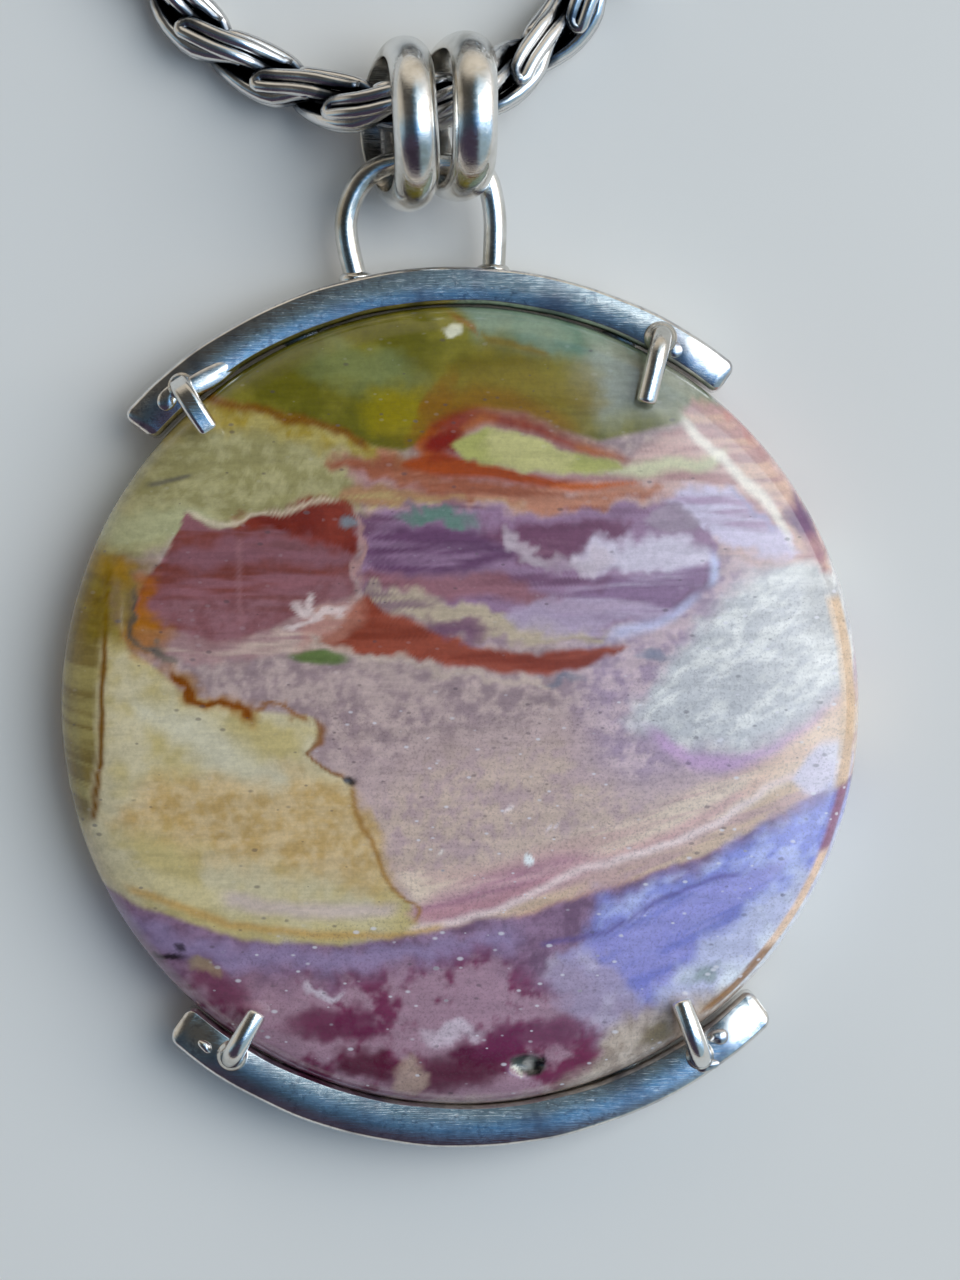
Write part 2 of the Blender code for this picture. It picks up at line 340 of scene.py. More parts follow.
def carry(
    path: Array,
    across: Array,
    upward: Array,
    section: Array,
    scale: Array | None = None,
    closed: bool = False,
) -> tuple[Array, list]:
    """A flat section carried along a path.

    A point of the surface is path(u) + scale(u) * (section_x(v) * across(u) + section_y(v) * upward(u)).

    Args:
        path: One point a station.
        across: The section's x direction at each station.
        upward: The section's y direction at each station.
        section: Rows of x, y of the section.
        scale: The section's scale at each station, one number for x and one for y, or none for 1.
        closed: Whether the path is a ring. An open one gets a flat face at both ends.

    Returns:
        The points and the faces.
    """
    if scale is None:
        scale = np.ones((len(path), 2))
    x = section[None, :, 0, None] * scale[:, None, 0, None] * across[:, None, :]
    y = section[None, :, 1, None] * scale[:, None, 1, None] * upward[:, None, :]
    points = (path[:, None, :] + x + y).reshape(-1, 3)
    count = len(section)
    faces = grid_faces(len(path), count, closed, True).tolist()
    if not closed:
        faces += [list(range(count)), list(range(len(points) - count, len(points)))]
    return points, faces


def level_frames(path: Array) -> tuple[Array, Array]:
    """Directions along a path that never runs straight up, all of length 1.

    The side is the tangent crossed with straight up, and upward is the side crossed with the tangent.

    Args:
        path: Rows of x, y, z.

    Returns:
        Level sides and upward directions.
    """
    tangent = unit(np.gradient(path, axis=0))
    side = unit(np.cross(tangent, UP))
    return side, unit(np.cross(side, tangent))


def wire_surface(
    route: Array, radius: float, sides: int, flat_top: float = 1.0, closed: bool = False
) -> tuple[Array, list]:
    """A round wire along a route, whose ends are rounded over two fifths of its radius.

    Within that length of an end the scale falls to 0.62, with the root of 1 minus how far in squared.

    Args:
        route: Rows of x, y, z in millimetres.
        radius: The wire's radius.
        sides: How many sides it has.
        flat_top: Where its upper side is filed flat, as a share of the radius.
        closed: Whether it is a ring.

    Returns:
        Points and faces.
    """
    if closed:
        tangent = unit(np.roll(route, -1, axis=0) - np.roll(route, 1, axis=0))
        scale = np.ones(len(route))
    else:
        length = radius * 0.4
        along = lengths_along(route)
        close = length * (1 - np.cos(np.linspace(0, math.pi / 2, 6)))
        inner = along[(along > length) & (along < along[-1] - length)]
        route = at_lengths(route, along, np.concatenate([close, inner, along[-1] - close[::-1]]))
        tangent = unit(np.gradient(route, axis=0))
        along = lengths_along(route)
        inside = np.clip(1 - np.minimum(along, along[-1] - along) / length, 0.0, 1.0)
        scale = 0.62 + 0.38 * np.maximum(np.sqrt(np.clip(1 - inside**2, 0.0, 1.0)), 0.02)
    chord = (route[-1] - route[0]) * LEVEL
    if closed or np.linalg.norm(chord) < 0.1 * radius:
        side = unit(np.cross(tangent, UP))
    else:
        side = np.broadcast_to(unit(np.cross(chord, UP)), route.shape)
        side = unit(side - tangent * np.sum(side * tangent, axis=1, keepdims=True))
    section = ring_section(sides, radius)
    section[:, 1] = np.minimum(section[:, 1], flat_top * radius)
    upward = unit(np.cross(side, tangent))
    return carry(route, side, upward, section, np.stack([scale, scale], axis=1), closed)


def turned_surface(profile: Array, centre: Point, axis: Point, steps: int) -> tuple[Array, list]:
    """A profile turned about a line: rows of radius and way along the line.

    Args:
        profile: Rows of radius and distance, from a pole to a pole, so that the surface is closed.
        centre: The line's start in millimetres.
        axis: Its direction.
        steps: How many steps round.

    Returns:
        Points and faces.
    """
    direction = unit(np.array(axis, float))
    side = unit(np.cross(direction, UP if abs(direction[2]) < 0.9 else np.array([1.0, 0.0, 0.0])))
    upward = np.cross(direction, side)
    circle = ring_section(steps, 1.0)
    around = circle[:, :1] * side + circle[:, 1:] * upward
    inner = profile[1:-1]
    rings = inner[:, None, :1] * around[None] + inner[:, None, 1:] * direction
    poles = profile[[0, -1], 1:] * direction
    points = np.vstack([rings.reshape(-1, 3), poles]) + np.array(centre)
    faces = grid_faces(len(inner), steps, False, True).tolist()
    first = len(inner) * steps
    for pole, row in ((first, 0), (first + 1, first - steps)):
        faces += [[pole, row + k, row + (k + 1) % steps] for k in range(steps)]
    return points, faces


def lump(
    centre: Point, size: Point, seed: float, turn: float = 0.0, lean: float = 0.0
) -> tuple[Array, list]:
    """A blob of solder: a ball whose radius is 1 + 0.1 * sums of sines of its angles, stretched.

    Args:
        centre: Its middle in millimetres.
        size: Its half sizes.
        seed: A number that makes each one different.
        turn: How far it is turned in plan, in degrees.
        lean: How far it sinks with each millimetre to the right.

    Returns:
        Points and faces.
    """
    polar = np.linspace(0, math.pi, 12)
    profile = np.stack([np.sin(polar), -np.cos(polar)], axis=1)
    points, faces = turned_surface(profile, (0, 0, 0), (0, 0, 1), 24)
    angle, high = np.arctan2(points[:, 1], points[:, 0]), points[:, 2]
    swell = np.sin(2 * angle + seed) + np.sin(3 * angle + 2 * seed) * 0.7 + np.sin(4 * high + seed) * 0.5
    points = points * (1 + 0.1 * swell * np.sqrt(np.clip(1 - high**2, 0, 1)))[:, None] * np.array(size)
    cos, sin = math.cos(math.radians(turn)), math.sin(math.radians(turn))
    points = points @ np.array([[cos, sin, 0], [-sin, cos, 0], [0, 0, 1.0]])
    return points - points[:, :1] * UP * lean + np.array(centre), faces


class Graph:
    """Lays out the nodes of a shader tree, left to right in the order in which they are worked out."""

    def __init__(self, tree: bpy.types.NodeTree) -> None:
        """Starts on a material's tree or a node group."""
        self.tree = tree
        self.count = 0

    def feed(self, node: bpy.types.Node, inputs: dict[str | int, object]) -> None:
        """Links an output to each named input of a node, or sets the input's own value.

        Args:
            node: The node.
            inputs: Names or numbers of inputs, and a socket, a number, a vector or a colour for each.
        """
        for key, value in inputs.items():
            if isinstance(value, bpy.types.NodeSocket):
                self.tree.links.new(value, node.inputs[key])
            else:
                node.inputs[key].default_value = value

    def node(self, kind: str, inputs: dict[str | int, object], **settings: object) -> bpy.types.Node:
        """Adds a node.

        Args:
            kind: The node's type name.
            inputs: Names or numbers of inputs, and what feeds each.
            **settings: Properties of the node to set.

        Returns:
            The node.
        """
        made = self.tree.nodes.new(kind)
        made.location = (220 * (self.count % 24), -260 * (self.count // 24))
        self.count += 1
        for key, value in settings.items():
            setattr(made, key, value)
        self.feed(made, inputs)
        return made

    def math(self, operation: str, *values: object) -> Socket:
        """What a Math node makes of its inputs, given in order."""
        return self.node("ShaderNodeMath", dict(enumerate(values)), operation=operation).outputs[0]

    def rise(self, value: object, low: float, high: float) -> Socket:
        """A smooth step of a value, from 0 at one number to 1 at another."""
        inputs = {"Value": value, "From Min": low, "From Max": high}
        return self.node("ShaderNodeMapRange", inputs, interpolation_type="SMOOTHSTEP").outputs["Result"]

    def mix(self, share: object, first: object, second: object, blend: str = "MIX") -> Socket:
        """A colour mix, with a share from 0 to 1 of the second colour on top of the first."""
        inputs = {0: share, 6: first, 7: second}
        return self.node("ShaderNodeMix", inputs, data_type="RGBA", blend_type=blend).outputs[2]

    def noise(self, place: Socket, scale: object, detail: float, rough: float = 0.5) -> Socket:
        """A noise texture's height: its features in a metre, its finer octaves, and how strong those are."""
        inputs = {"Vector": place, "Scale": scale, "Detail": detail, "Roughness": rough}
        return self.node("ShaderNodeTexNoise", inputs).outputs["Fac"]

    def scaled(self, place: Socket, factors: Point, turn: float = 0.0) -> Socket:
        """The coordinates times a factor on each axis, after a turn in degrees about Z."""
        inputs = {"Vector": place, "Rotation": (0.0, 0.0, math.radians(turn)), "Scale": factors}
        return self.node("ShaderNodeMapping", inputs).outputs[0]

    def attribute(self, name: str, output: str = "Fac") -> Socket:
        """What the mesh stores at its points under a name, as a number from Fac or a colour from Color."""
        return self.node("ShaderNodeAttribute", {}, attribute_name=name).outputs[output]

    def here(self) -> Socket:
        """The object's own coordinates."""
        return self.node("ShaderNodeTexCoord", {}).outputs["Object"]

    def bump(self, height: Socket, depth: float, **others: object) -> Socket:
        """A normal that is tilted by a height from 0 to 1, where 1 stands for a depth in metres."""
        return self.node("ShaderNodeBump", {"Height": height, "Distance": depth, **others}).outputs[0]


def new_material(name: str) -> tuple[bpy.types.Material, Graph, bpy.types.Node]:
    """A material with an empty tree but for its shader and output.

    Args:
        name: The material's name.

    Returns:
        The material, its graph, and its Principled BSDF.
    """
    material = bpy.data.materials.new(name)
    material.use_nodes = True
    return material, Graph(material.node_tree), material.node_tree.nodes["Principled BSDF"]


def shared_group(name: str, inputs: dict[str, float], output: str) -> tuple:
    """A node group that reads coordinates from its input Place, with named number sockets.

    Args:
        name: The group's name.
        inputs: The other inputs and their usual values.
        output: The name of the output.

    Returns:
        The group's tree, its graph, what its inputs give, and its output node.
    """
    tree = bpy.data.node_groups.new(name, "ShaderNodeTree")
    tree.interface.new_socket(name="Place", in_out="INPUT", socket_type="NodeSocketVector")
    for key, value in inputs.items():
        socket = tree.interface.new_socket(name=key, in_out="INPUT", socket_type="NodeSocketFloat")
        socket.default_value = value
    tree.interface.new_socket(name=output, in_out="OUTPUT", socket_type="NodeSocketFloat")
    graph = Graph(tree)
    return tree, graph, graph.node("NodeGroupInput", {}).outputs, graph.node("NodeGroupOutput", {})


class Wear:
    """The shared effects of worn metal: fine scratches, and soft hollows left by hand work."""

    def __init__(self) -> None:
        """Builds both groups once."""
        self.scratches = self.make_scratches()
        self.hollows = self.make_hollows()

    @staticmethod
    def make_scratches() -> bpy.types.NodeTree:
        """Hair-fine lines in three directions: ridges of noise that is stretched about 40 times.

        Returns:
            The group. Its output Lines is its input Share in a scratch, and 0 beside it.
        """
        tree, g, given, result = shared_group("fine_scratches", {"Fineness": 9000.0, "Share": 0.5}, "Lines")
        lines = 0.0
        for turn, long_way in ((12.0, 0.025), (64.0, 0.03), (-37.0, 0.02)):
            noise = g.noise(g.scaled(given["Place"], (long_way, 1.0, 1.0), turn), given["Fineness"], 2.0)
            ridge = g.rise(g.math("ABSOLUTE", g.math("SUBTRACT", noise, 0.5)), 0.02, 0.0)
            lines = g.math("MAXIMUM", lines, ridge)
        g.feed(result, {"Lines": g.math("MULTIPLY", lines, given["Share"])})
        return tree

    @staticmethod
    def make_hollows() -> bpy.types.NodeTree:
        """Broad low waves and small dents: the sum of two noises.

        Returns:
            The group. Its output Height is about 0.5 and half the input Dents on the flat.
        """
        tree, g, given, result = shared_group("hand_worked_hollows", {"Size": 400.0, "Dents": 0.3}, "Height")
        broad = g.noise(given["Place"], given["Size"], 1.0)
        dents = g.math("MULTIPLY", g.noise(given["Place"], 3000.0, 2.0), given["Dents"])
        g.feed(result, {"Height": g.math("ADD", broad, dents)})
        return tree

    @staticmethod
    def place(graph: Graph, tree: bpy.types.NodeTree, inputs: dict[str, object]) -> Socket:
        """What one of the groups gives in a material, from its inputs by name."""
        return graph.node("ShaderNodeGroup", inputs, node_tree=tree).outputs[0]


@dataclass(frozen=True)
class SilverFinish:
    """A silver surface: its colour, polish, scratches and hollows, with depths in metres."""

    name: str
    colour: Colour = (236, 233, 228)
    dull: Colour = (178, 172, 160)
    roughness: float = 0.06
    rougher: float = 0.07
    scratch_rough: float = 0.06
    flecks: float = 0.15
    scratch_share: float = 0.5
    scratch_depth: float = 0.000002
    hollow_depth: float = 0.000012
    hollow_size: float = 400.0
    dents: float = 0.3
    fineness: float = 9000.0

    def make(self, wear: Wear) -> bpy.types.Material:
        """Builds the material: silver that dulls in patches and flecks and is rougher in its scratches.

        Args:
            wear: The shared effects.

        Returns:
            The material.
        """
        material, g, shader = new_material(self.name)
        place = g.here()
        scratch_inputs = {"Place": place, "Fineness": self.fineness, "Share": self.scratch_share}
        lines = wear.place(g, wear.scratches, scratch_inputs)
        hollow = wear.place(g, wear.hollows, {"Place": place, "Size": self.hollow_size, "Dents": self.dents})
        patch = g.rise(g.noise(place, 260.0, 4.0, 0.6), 0.42, 0.72)
        fleck = g.rise(g.noise(place, 2300.0, 4.0, 0.72), 0.47, 0.66)
        tarnish = g.math("MAXIMUM", patch, g.math("MULTIPLY", fleck, self.flecks))
        worn = g.math("MULTIPLY_ADD", patch, self.rougher, self.roughness)
        scratched = g.bump(g.math("SUBTRACT", 1.0, lines), self.scratch_depth)
        looks = {
            "Base Color": g.mix(tarnish, linear(self.colour), linear(self.dull)),
            "Metallic": 1.0,
            "Roughness": g.math("MULTIPLY_ADD", lines, self.scratch_rough, worn),
            "Normal": g.bump(hollow, self.hollow_depth, Normal=scratched),
        }
        g.feed(shader, looks)
        return material


@dataclass(frozen=True)
class OxidisedFinish:
    """Blackened silver that is bright again where it has been rubbed: on the ridges of the weave."""

    name: str = "oxidised_weave"
    bright: Colour = (226, 224, 222)
    middle: Colour = (120, 124, 130)
    black: Colour = (16, 17, 19)
    roughness: float = 0.2
    black_from: float = 0.35
    bright_from: float = 0.82
    pore_depth: float = 0.000003

    def make(self) -> bpy.types.Material:
        """Builds the material, which reads each point's height above the chain's core.

        Returns:
            The material.
        """
        material, g, shader = new_material(self.name)
        place = g.here()
        cloud = g.noise(place, 900.0, 3.0, 0.6)
        height = g.math("MULTIPLY_ADD", g.math("SUBTRACT", cloud, 0.5), 0.35, g.attribute("relief"))
        flank = g.rise(height, self.black_from, self.bright_from - 0.2)
        ridge = g.rise(height, self.bright_from - 0.22, self.bright_from)
        dark = g.mix(flank, linear(self.black), linear(self.middle))
        looks = {
            "Base Color": g.mix(ridge, dark, linear(self.bright)),
            "Metallic": 1.0,
            "Roughness": g.math("MULTIPLY_ADD", cloud, 0.2, self.roughness - 0.1),
            "Normal": g.bump(g.noise(place, 5000.0, 2.0), self.pore_depth),
        }
        g.feed(shader, looks)
        return material


class Grain(Enum):
    """How a marking's two colours mingle."""

    SAND = "sand"
    CLOUD = "cloud"
    STREAK = "streak"
    BLOTCH = "blotch"
    FLAKE = "flake"


class Warp(Enum):
    """How much a marking's edge wanders: the spread of a wide and a fine noise, in photograph pixels."""

    STILL = (0.7, 0.3)
    CALM = (2.0, 0.7)
    WAVY = (4.5, 1.4)
    JAGGED = (0.7, 1.3)
    RAGGED = (2.5, 3.2)


@dataclass(frozen=True)
class Marking:
    """One marking of the stone: an area between edges that are drawn in the photograph's pixels.

    top and bottom give y for x, left and right give x for y. An edge that is left out isn't there, and
    without another colour the marking has one.
    """

    name: str
    colour: Colour
    other: Colour | None = None
    soft: float = 4.0
    strength: float = 1.0
    warp: Warp = Warp.RAGGED
    grain: Grain = Grain.STREAK
    top: Edge = ()
    bottom: Edge = ()
    left: Edge = ()
    right: Edge = ()

    def closed_edges(self) -> tuple[Edge, Edge]:
        """The top and bottom edges, crossed a little past each end where they meet.

        Returns:
            Both edges.
        """
        top, bottom = self.top, self.bottom
        if not top or not bottom:
            return top, bottom
        cross = 2.5 * self.soft
        for end, way in ((0, -1), (-1, 1)):
            if abs(top[end][0] - bottom[end][0]) < 1:
                middle = (top[end][1] + bottom[end][1]) / 2
                x = top[end][0] + way * (8 + self.soft)
                upper, under = (x, middle + cross), (x, middle - cross)
                top = (upper, *top) if end == 0 else (*top, upper)
                bottom = (under, *bottom) if end == 0 else (*bottom, under)
        return top, bottom

    def mask(self, u: Array, v: Array) -> Array:
        """How far inside the marking's edges each place is: a smooth step over the nearest one.

        Args:
            u: Across, in photograph pixels.
            v: Down, likewise.

        Returns:
            0 outside to the marking's strength inside.
        """
        top, bottom = self.closed_edges()
        rounding = min(self.soft, 8.0)
        gaps = [v - bent(top, u, rounding)] if top else []
        gaps += [bent(bottom, u, rounding) - v] if bottom else []
        gaps += [u - bent(self.left, v, rounding)] if self.left else []
        gaps += [bent(self.right, v, rounding) - u] if self.right else []
        return ease((np.min(gaps, axis=0) / max(self.soft, LEAST_EDGE) + 1) / 2) * self.strength


@dataclass(frozen=True)
class Vein:
    """A thin line across the stone, drawn in the photograph's pixels.

    Its points give y for x, or x for y where upright is set.
    """

    name: str
    colour: Colour
    width: float
    points: Edge
    soft: float = 2.5
    strength: float = 0.85
    upright: bool = False
    warp: Warp = Warp.CALM

    def mask(self, u: Array, v: Array) -> Array:
        """How near each place is to the line, which fades at both ends.

        Args:
            u: Across, in photograph pixels.
            v: Down, likewise.

        Returns:
            0 away from the line to its strength on it.
        """
        along, value = (v, u) if self.upright else (u, v)
        off = np.abs(value - bent(self.points, along, min(self.soft, 4.0)))
        edge = max(self.soft, LEAST_EDGE)
        inner = max(self.width - edge, 0.0)
        near = ease((self.width + edge - off) / (self.width + edge - inner))
        start, end = self.points[0][0], self.points[-1][0]
        half = (end - start) / 2
        aside = np.abs(along - (start + end) / 2)
        return near * ease((half - aside) / min(half, 3 * self.soft + 4)) * self.strength


@dataclass(frozen=True)
class Blot:
    """A round or long spot, drawn in the photograph's pixels: its middle, half sizes and turn."""

    name: str
    colour: Colour
    middle: Spot
    half: Spot
    turn: float = 0.0
    soft: float = 0.5
    strength: float = 0.95
    warp: Warp = Warp.RAGGED

    def mask(self, u: Array, v: Array) -> Array:
        """How far inside the turned ellipse each place is.

        Args:
            u: Across, in photograph pixels.
            v: Down, likewise.

        Returns:
            0 outside to the blot's strength inside.
        """
        turn = math.radians(self.turn)
        x, y = u - self.middle[0], v - self.middle[1]
        along = (x * math.cos(turn) + y * math.sin(turn)) / self.half[0]
        aside = (y * math.cos(turn) - x * math.sin(turn)) / self.half[1]
        far = along**2 + aside**2
        outer, inner = (1 + self.soft) ** 2, (1 - self.soft) ** 2
        return ease((outer - far) / (outer - inner)) * self.strength


# The sandy middle, the pale sand on the right and the cream on the left
SANDY_MIDDLE = (
    Marking(
        "upper_mauve", (140, 124, 130), (172, 156, 156), soft=60, warp=Warp.CALM, grain=Grain.SAND,
        bottom=((100, 690), (300, 760), (480, 775), (600, 740), (700, 660), (760, 600)),
    ),
    Marking(
        "tan_sand", (184, 168, 160), (168, 150, 154), soft=40, warp=Warp.CALM, grain=Grain.SAND,
        top=((360, 820), (430, 760), (560, 740), (660, 760), (780, 770)), left=((740, 345), (900, 380)),
    ),
    Marking(
        "lilac_sand", (150, 134, 154), (182, 166, 176), soft=34, warp=Warp.CALM, grain=Grain.SAND,
        top=((540, 640), (620, 620), (700, 560), (760, 540)),
        bottom=((540, 740), (640, 790), (740, 770), (860, 700)), left=((600, 560), (740, 590)),
    ),
    Marking(
        "pale_sand", (178, 181, 188), (208, 211, 214), soft=22, grain=Grain.FLAKE,
        top=((628, 718), (656, 684), (686, 634), (716, 596), (756, 566), (800, 548), (870, 534)),
        bottom=(
            (628, 722), (653, 730), (673, 742), (690, 755), (735, 757), (766, 745), (799, 726), (833, 704),
            (870, 680),
        ),
    ),
    Blot("sand_shade", (146, 148, 152), (828, 604), (16, 34), -12, 0.7, 0.55),
    Vein(
        "sand_fringe", (176, 148, 186), 9,
        ((640, 722), (655, 734), (673, 750), (690, 763), (735, 767), (763, 757), (799, 737), (840, 708)),
        soft=7, strength=0.8,
    ),
    Marking(
        "cream_field", (174, 163, 122), (186, 179, 154), soft=3, warp=Warp.STILL, grain=Grain.CLOUD,
        top=((60, 560), (100, 600), (128, 650), (160, 672), (180, 692), (236, 709), (300, 716), (400, 700)),
        right=(
            (690, 190), (707, 256), (715, 315), (732, 323), (743, 321), (752, 309), (763, 321), (774, 337),
            (783, 351), (819, 357), (839, 365), (858, 377), (875, 385), (889, 394), (902, 410), (940, 425),
        ),
    ),
    Marking(
        "ochre_patch", (172, 146, 100), (188, 168, 134), soft=22, strength=0.9, grain=Grain.SAND,
        top=((110, 815), (150, 782), (240, 768), (300, 762), (350, 790), (395, 880)),
        bottom=((110, 820), (180, 850), (260, 868), (330, 880), (395, 885)),
    ),
    Marking(
        "pale_bend", (190, 188, 172), soft=16, strength=0.8, warp=Warp.WAVY,
        top=((130, 690), (180, 712), (240, 738), (290, 762)),
        bottom=((130, 710), (180, 752), (240, 778), (290, 784)),
    ),
    # The olive rim on the left: its own olive with dark streaks, painted darker as shade where the rim turns
    # away from the light.
    Marking(
        "left_rim_with_shade", (142, 132, 88), (112, 98, 58), warp=Warp.CALM, top=((50, 520), (130, 530)),
        bottom=((50, 880), (130, 900)), right=((480, 128), (560, 103), (700, 93), (825, 90), (900, 96)),
    ),
    Vein(
        "rim_line", (104, 72, 26), 2.2, ((545, 107), (600, 103), (700, 99), (830, 93)), strength=1,
        upright=True,
    ),
)

# The slanting strata and the purple part under them
LOWER_BANDS = (
    Marking(
        "strata_cream", (202, 188, 176), (184, 162, 158), soft=10, warp=Warp.CALM,
        top=((380, 872), (440, 868), (510, 858), (590, 834), (660, 806), (730, 776), (800, 738), (860, 690)),
        left=((840, 380), (930, 430)),
    ),
    Marking(
        "strata_pink", (178, 148, 156), (158, 122, 138), soft=12, warp=Warp.CALM,
        top=((405, 912), (440, 890), (500, 868), (560, 858), (612, 858)),
        bottom=((405, 914), (440, 927), (500, 909), (560, 886), (612, 860)),
    ),
    Vein(
        "rosy_stratum", (180, 142, 148), 5,
        ((405, 920), (470, 906), (540, 884), (600, 862), (664, 836), (721, 808), (780, 770)), soft=6,
        strength=0.6,
    ),
    Vein(
        "light_stratum", (214, 200, 202), 3.5,
        ((400, 930), (440, 925), (496, 908), (580, 871), (664, 846), (721, 821), (777, 782), (850, 738)),
        soft=4,
    ),
    Marking(
        "strata_tan", (188, 168, 150), (176, 152, 150), warp=Warp.STILL,
        top=((420, 934), (496, 915), (580, 880), (664, 853), (721, 828), (777, 790), (860, 745)),
        bottom=(
            (420, 936), (480, 920), (524, 914), (608, 888), (678, 866), (735, 843), (763, 824), (805, 800),
            (860, 780),
        ),
    ),
    Vein(
        "orange_stratum", (184, 138, 108), 2.2,
        ((430, 936), (496, 922), (560, 903), (620, 884), (678, 867), (735, 845), (790, 812)), soft=3,
        strength=0.55,
    ),
    Vein(
        "mauve_stratum", (150, 118, 150), 2.5,
        ((450, 938), (510, 922), (570, 903), (640, 882), (700, 860), (760, 834), (800, 808)), soft=4,
        strength=0.6,
    ),
    Marking(
        "peach_corner", (206, 184, 168), soft=12, strength=0.7, warp=Warp.CALM,
        top=((740, 790), (790, 738), (862, 690)), bottom=((740, 800), (800, 768), (862, 742)),
    ),
    Marking(
        "pale_corner", (210, 210, 222), (190, 186, 204), soft=7, warp=Warp.CALM, grain=Grain.CLOUD,
        top=((796, 770), (818, 744), (860, 738)), bottom=((796, 788), (818, 800), (860, 786)),
    ),
    Vein(
        "cream_band", (190, 182, 150), 12, ((100, 868), (160, 888), (222, 905), (300, 914), (405, 918)),
        soft=9, strength=0.7,
    ),
    Vein(
        "peach_line", (176, 146, 96), 3.5,
        ((120, 884), (180, 908), (222, 923), (278, 930), (340, 934), (405, 934), (450, 925)), soft=4,
        strength=0.8,
    ),
    Vein(
        "lavender_line", (186, 172, 174), 7, ((210, 898), (260, 906), (330, 910), (405, 904)), soft=6,
        strength=0.75,
    ),
    Marking(
        "purple_base", (134, 110, 134), (108, 84, 106), warp=Warp.CALM, grain=Grain.SAND,
        top=(
            (60, 866), (119, 895), (147, 909), (180, 920), (236, 937), (278, 944), (321, 942), (349, 945),
            (377, 938), (433, 932), (480, 917), (524, 914), (608, 887), (678, 865), (735, 842), (763, 823),
            (805, 800), (860, 784),
        ),
    ),
    Vein(
        "blue_band", (142, 132, 168), 11,
        ((100, 905), (160, 938), (230, 956), (330, 962), (430, 952), (540, 930)), soft=12, strength=0.65,
        warp=Warp.RAGGED,
    ),
    Marking(
        "violet_blue", (130, 136, 198), (168, 176, 220), soft=16, grain=Grain.FLAKE,
        top=((560, 925), (600, 896), (664, 880), (721, 858), (763, 832), (810, 804), (870, 786)),
        bottom=((560, 990), (610, 1000), (650, 1010), (700, 985), (760, 955), (870, 860)),
        left=((880, 610), (940, 586), (1010, 610)),
    ),
    Marking(
        "deep_violet", (116, 118, 184), (140, 138, 196), soft=9, strength=0.9,
        top=((560, 950), (630, 915), (664, 898), (700, 884), (740, 872), (790, 858)),
        bottom=((560, 960), (620, 990), (650, 1000), (690, 960), (740, 915), (790, 868)),
    ),
    Marking(
        "white_cloud", (204, 212, 226), (176, 180, 208), soft=14, grain=Grain.CLOUD,
        top=((650, 1000), (675, 970), (700, 938), (740, 918), (780, 890), (850, 840)),
        left=((820, 700), (930, 672), (1000, 660), (1100, 640)),
    ),
    Marking(
        "pale_cloud", (190, 186, 206), (156, 146, 172), soft=14, strength=0.85, grain=Grain.CLOUD,
        top=((530, 985), (556, 955), (590, 935), (625, 985), (650, 1010)),
        bottom=((530, 1000), (560, 1030), (600, 1052), (650, 1040)),
    ),
    Marking(
        "tan_foot", (150, 138, 130), (182, 172, 164), soft=12, grain=Grain.SAND,
        top=((520, 1100), (560, 1068), (600, 1040), (660, 1010), (700, 1000), (760, 990), (840, 960)),
    ),
    Marking(
        "magenta_field", (152, 126, 142), (106, 52, 78), soft=22, grain=Grain.BLOTCH,
        top=((184, 970), (240, 985), (330, 988), (420, 972), (480, 948), (540, 975), (590, 1040)),
        bottom=((184, 1000), (240, 1060), (330, 1110), (540, 1110), (590, 1070)),
    ),
    *(
        Blot(f"magenta_{k}", *values)
        for k, values in enumerate(
            (
                ((104, 54, 78), (222, 990), (30, 15), 30, 0.5, 0.85),
                ((92, 40, 66), (335, 1028), (40, 16), 8, 0.5, 0.9),
                ((74, 24, 44), (366, 1070), (28, 14), 10, 0.5, 0.9),
                ((72, 22, 44), (460, 1072), (50, 18), -18, 0.6, 0.9),
                ((96, 42, 70), (528, 1036), (50, 15), -12, 0.5, 0.85),
                ((168, 150, 140), (410, 1080), (13, 16), 0, 0.6, 0.8),
                ((110, 98, 66), (652, 1038), (14, 8), -20, 0.6, 0.7),
                ((112, 128, 120), (698, 975), (15, 8), -40, 0.6, 0.7),
                ((26, 22, 26), (172, 958), (8, 5), -30, 0.5, 0.95),
                ((26, 22, 26), (181, 944), (4, 4), 0, 0.6, 0.8),
                ((150, 136, 110), (200, 968), (14, 6), 30, 0.6, 0.7),
                ((206, 200, 214), (326, 995), (12, 4), 0, 0.6, 0.7),
                ((198, 190, 204), (452, 1036), (22, 8), -10, 0.7, 0.7),
            )
        )
    ),
    Vein(
        "violet_line", (92, 80, 136), 1.5, ((538, 943), (608, 928), (664, 898), (707, 881), (749, 872)),
        strength=0.7,
    ),
    *(
        Vein(f"rim_{name}", colour, width, points, strength=0.9, upright=True, warp=Warp.STILL)
        for name, colour, width, points in (
            ("orange", (190, 168, 146), 10, ((590, 837), (650, 850), (706, 854), (760, 850), (796, 844))),
            ("purple", (132, 92, 110), 8.5, ((782, 851), (800, 846), (830, 837), (862, 826))),
            ("peach", (206, 180, 158), 8, ((848, 832), (880, 818), (910, 802), (940, 782), (960, 766))),
            ("brown", (128, 92, 54), 9, ((944, 780), (962, 764), (980, 748), (1000, 727), (1022, 700))),
        )
    ),
)

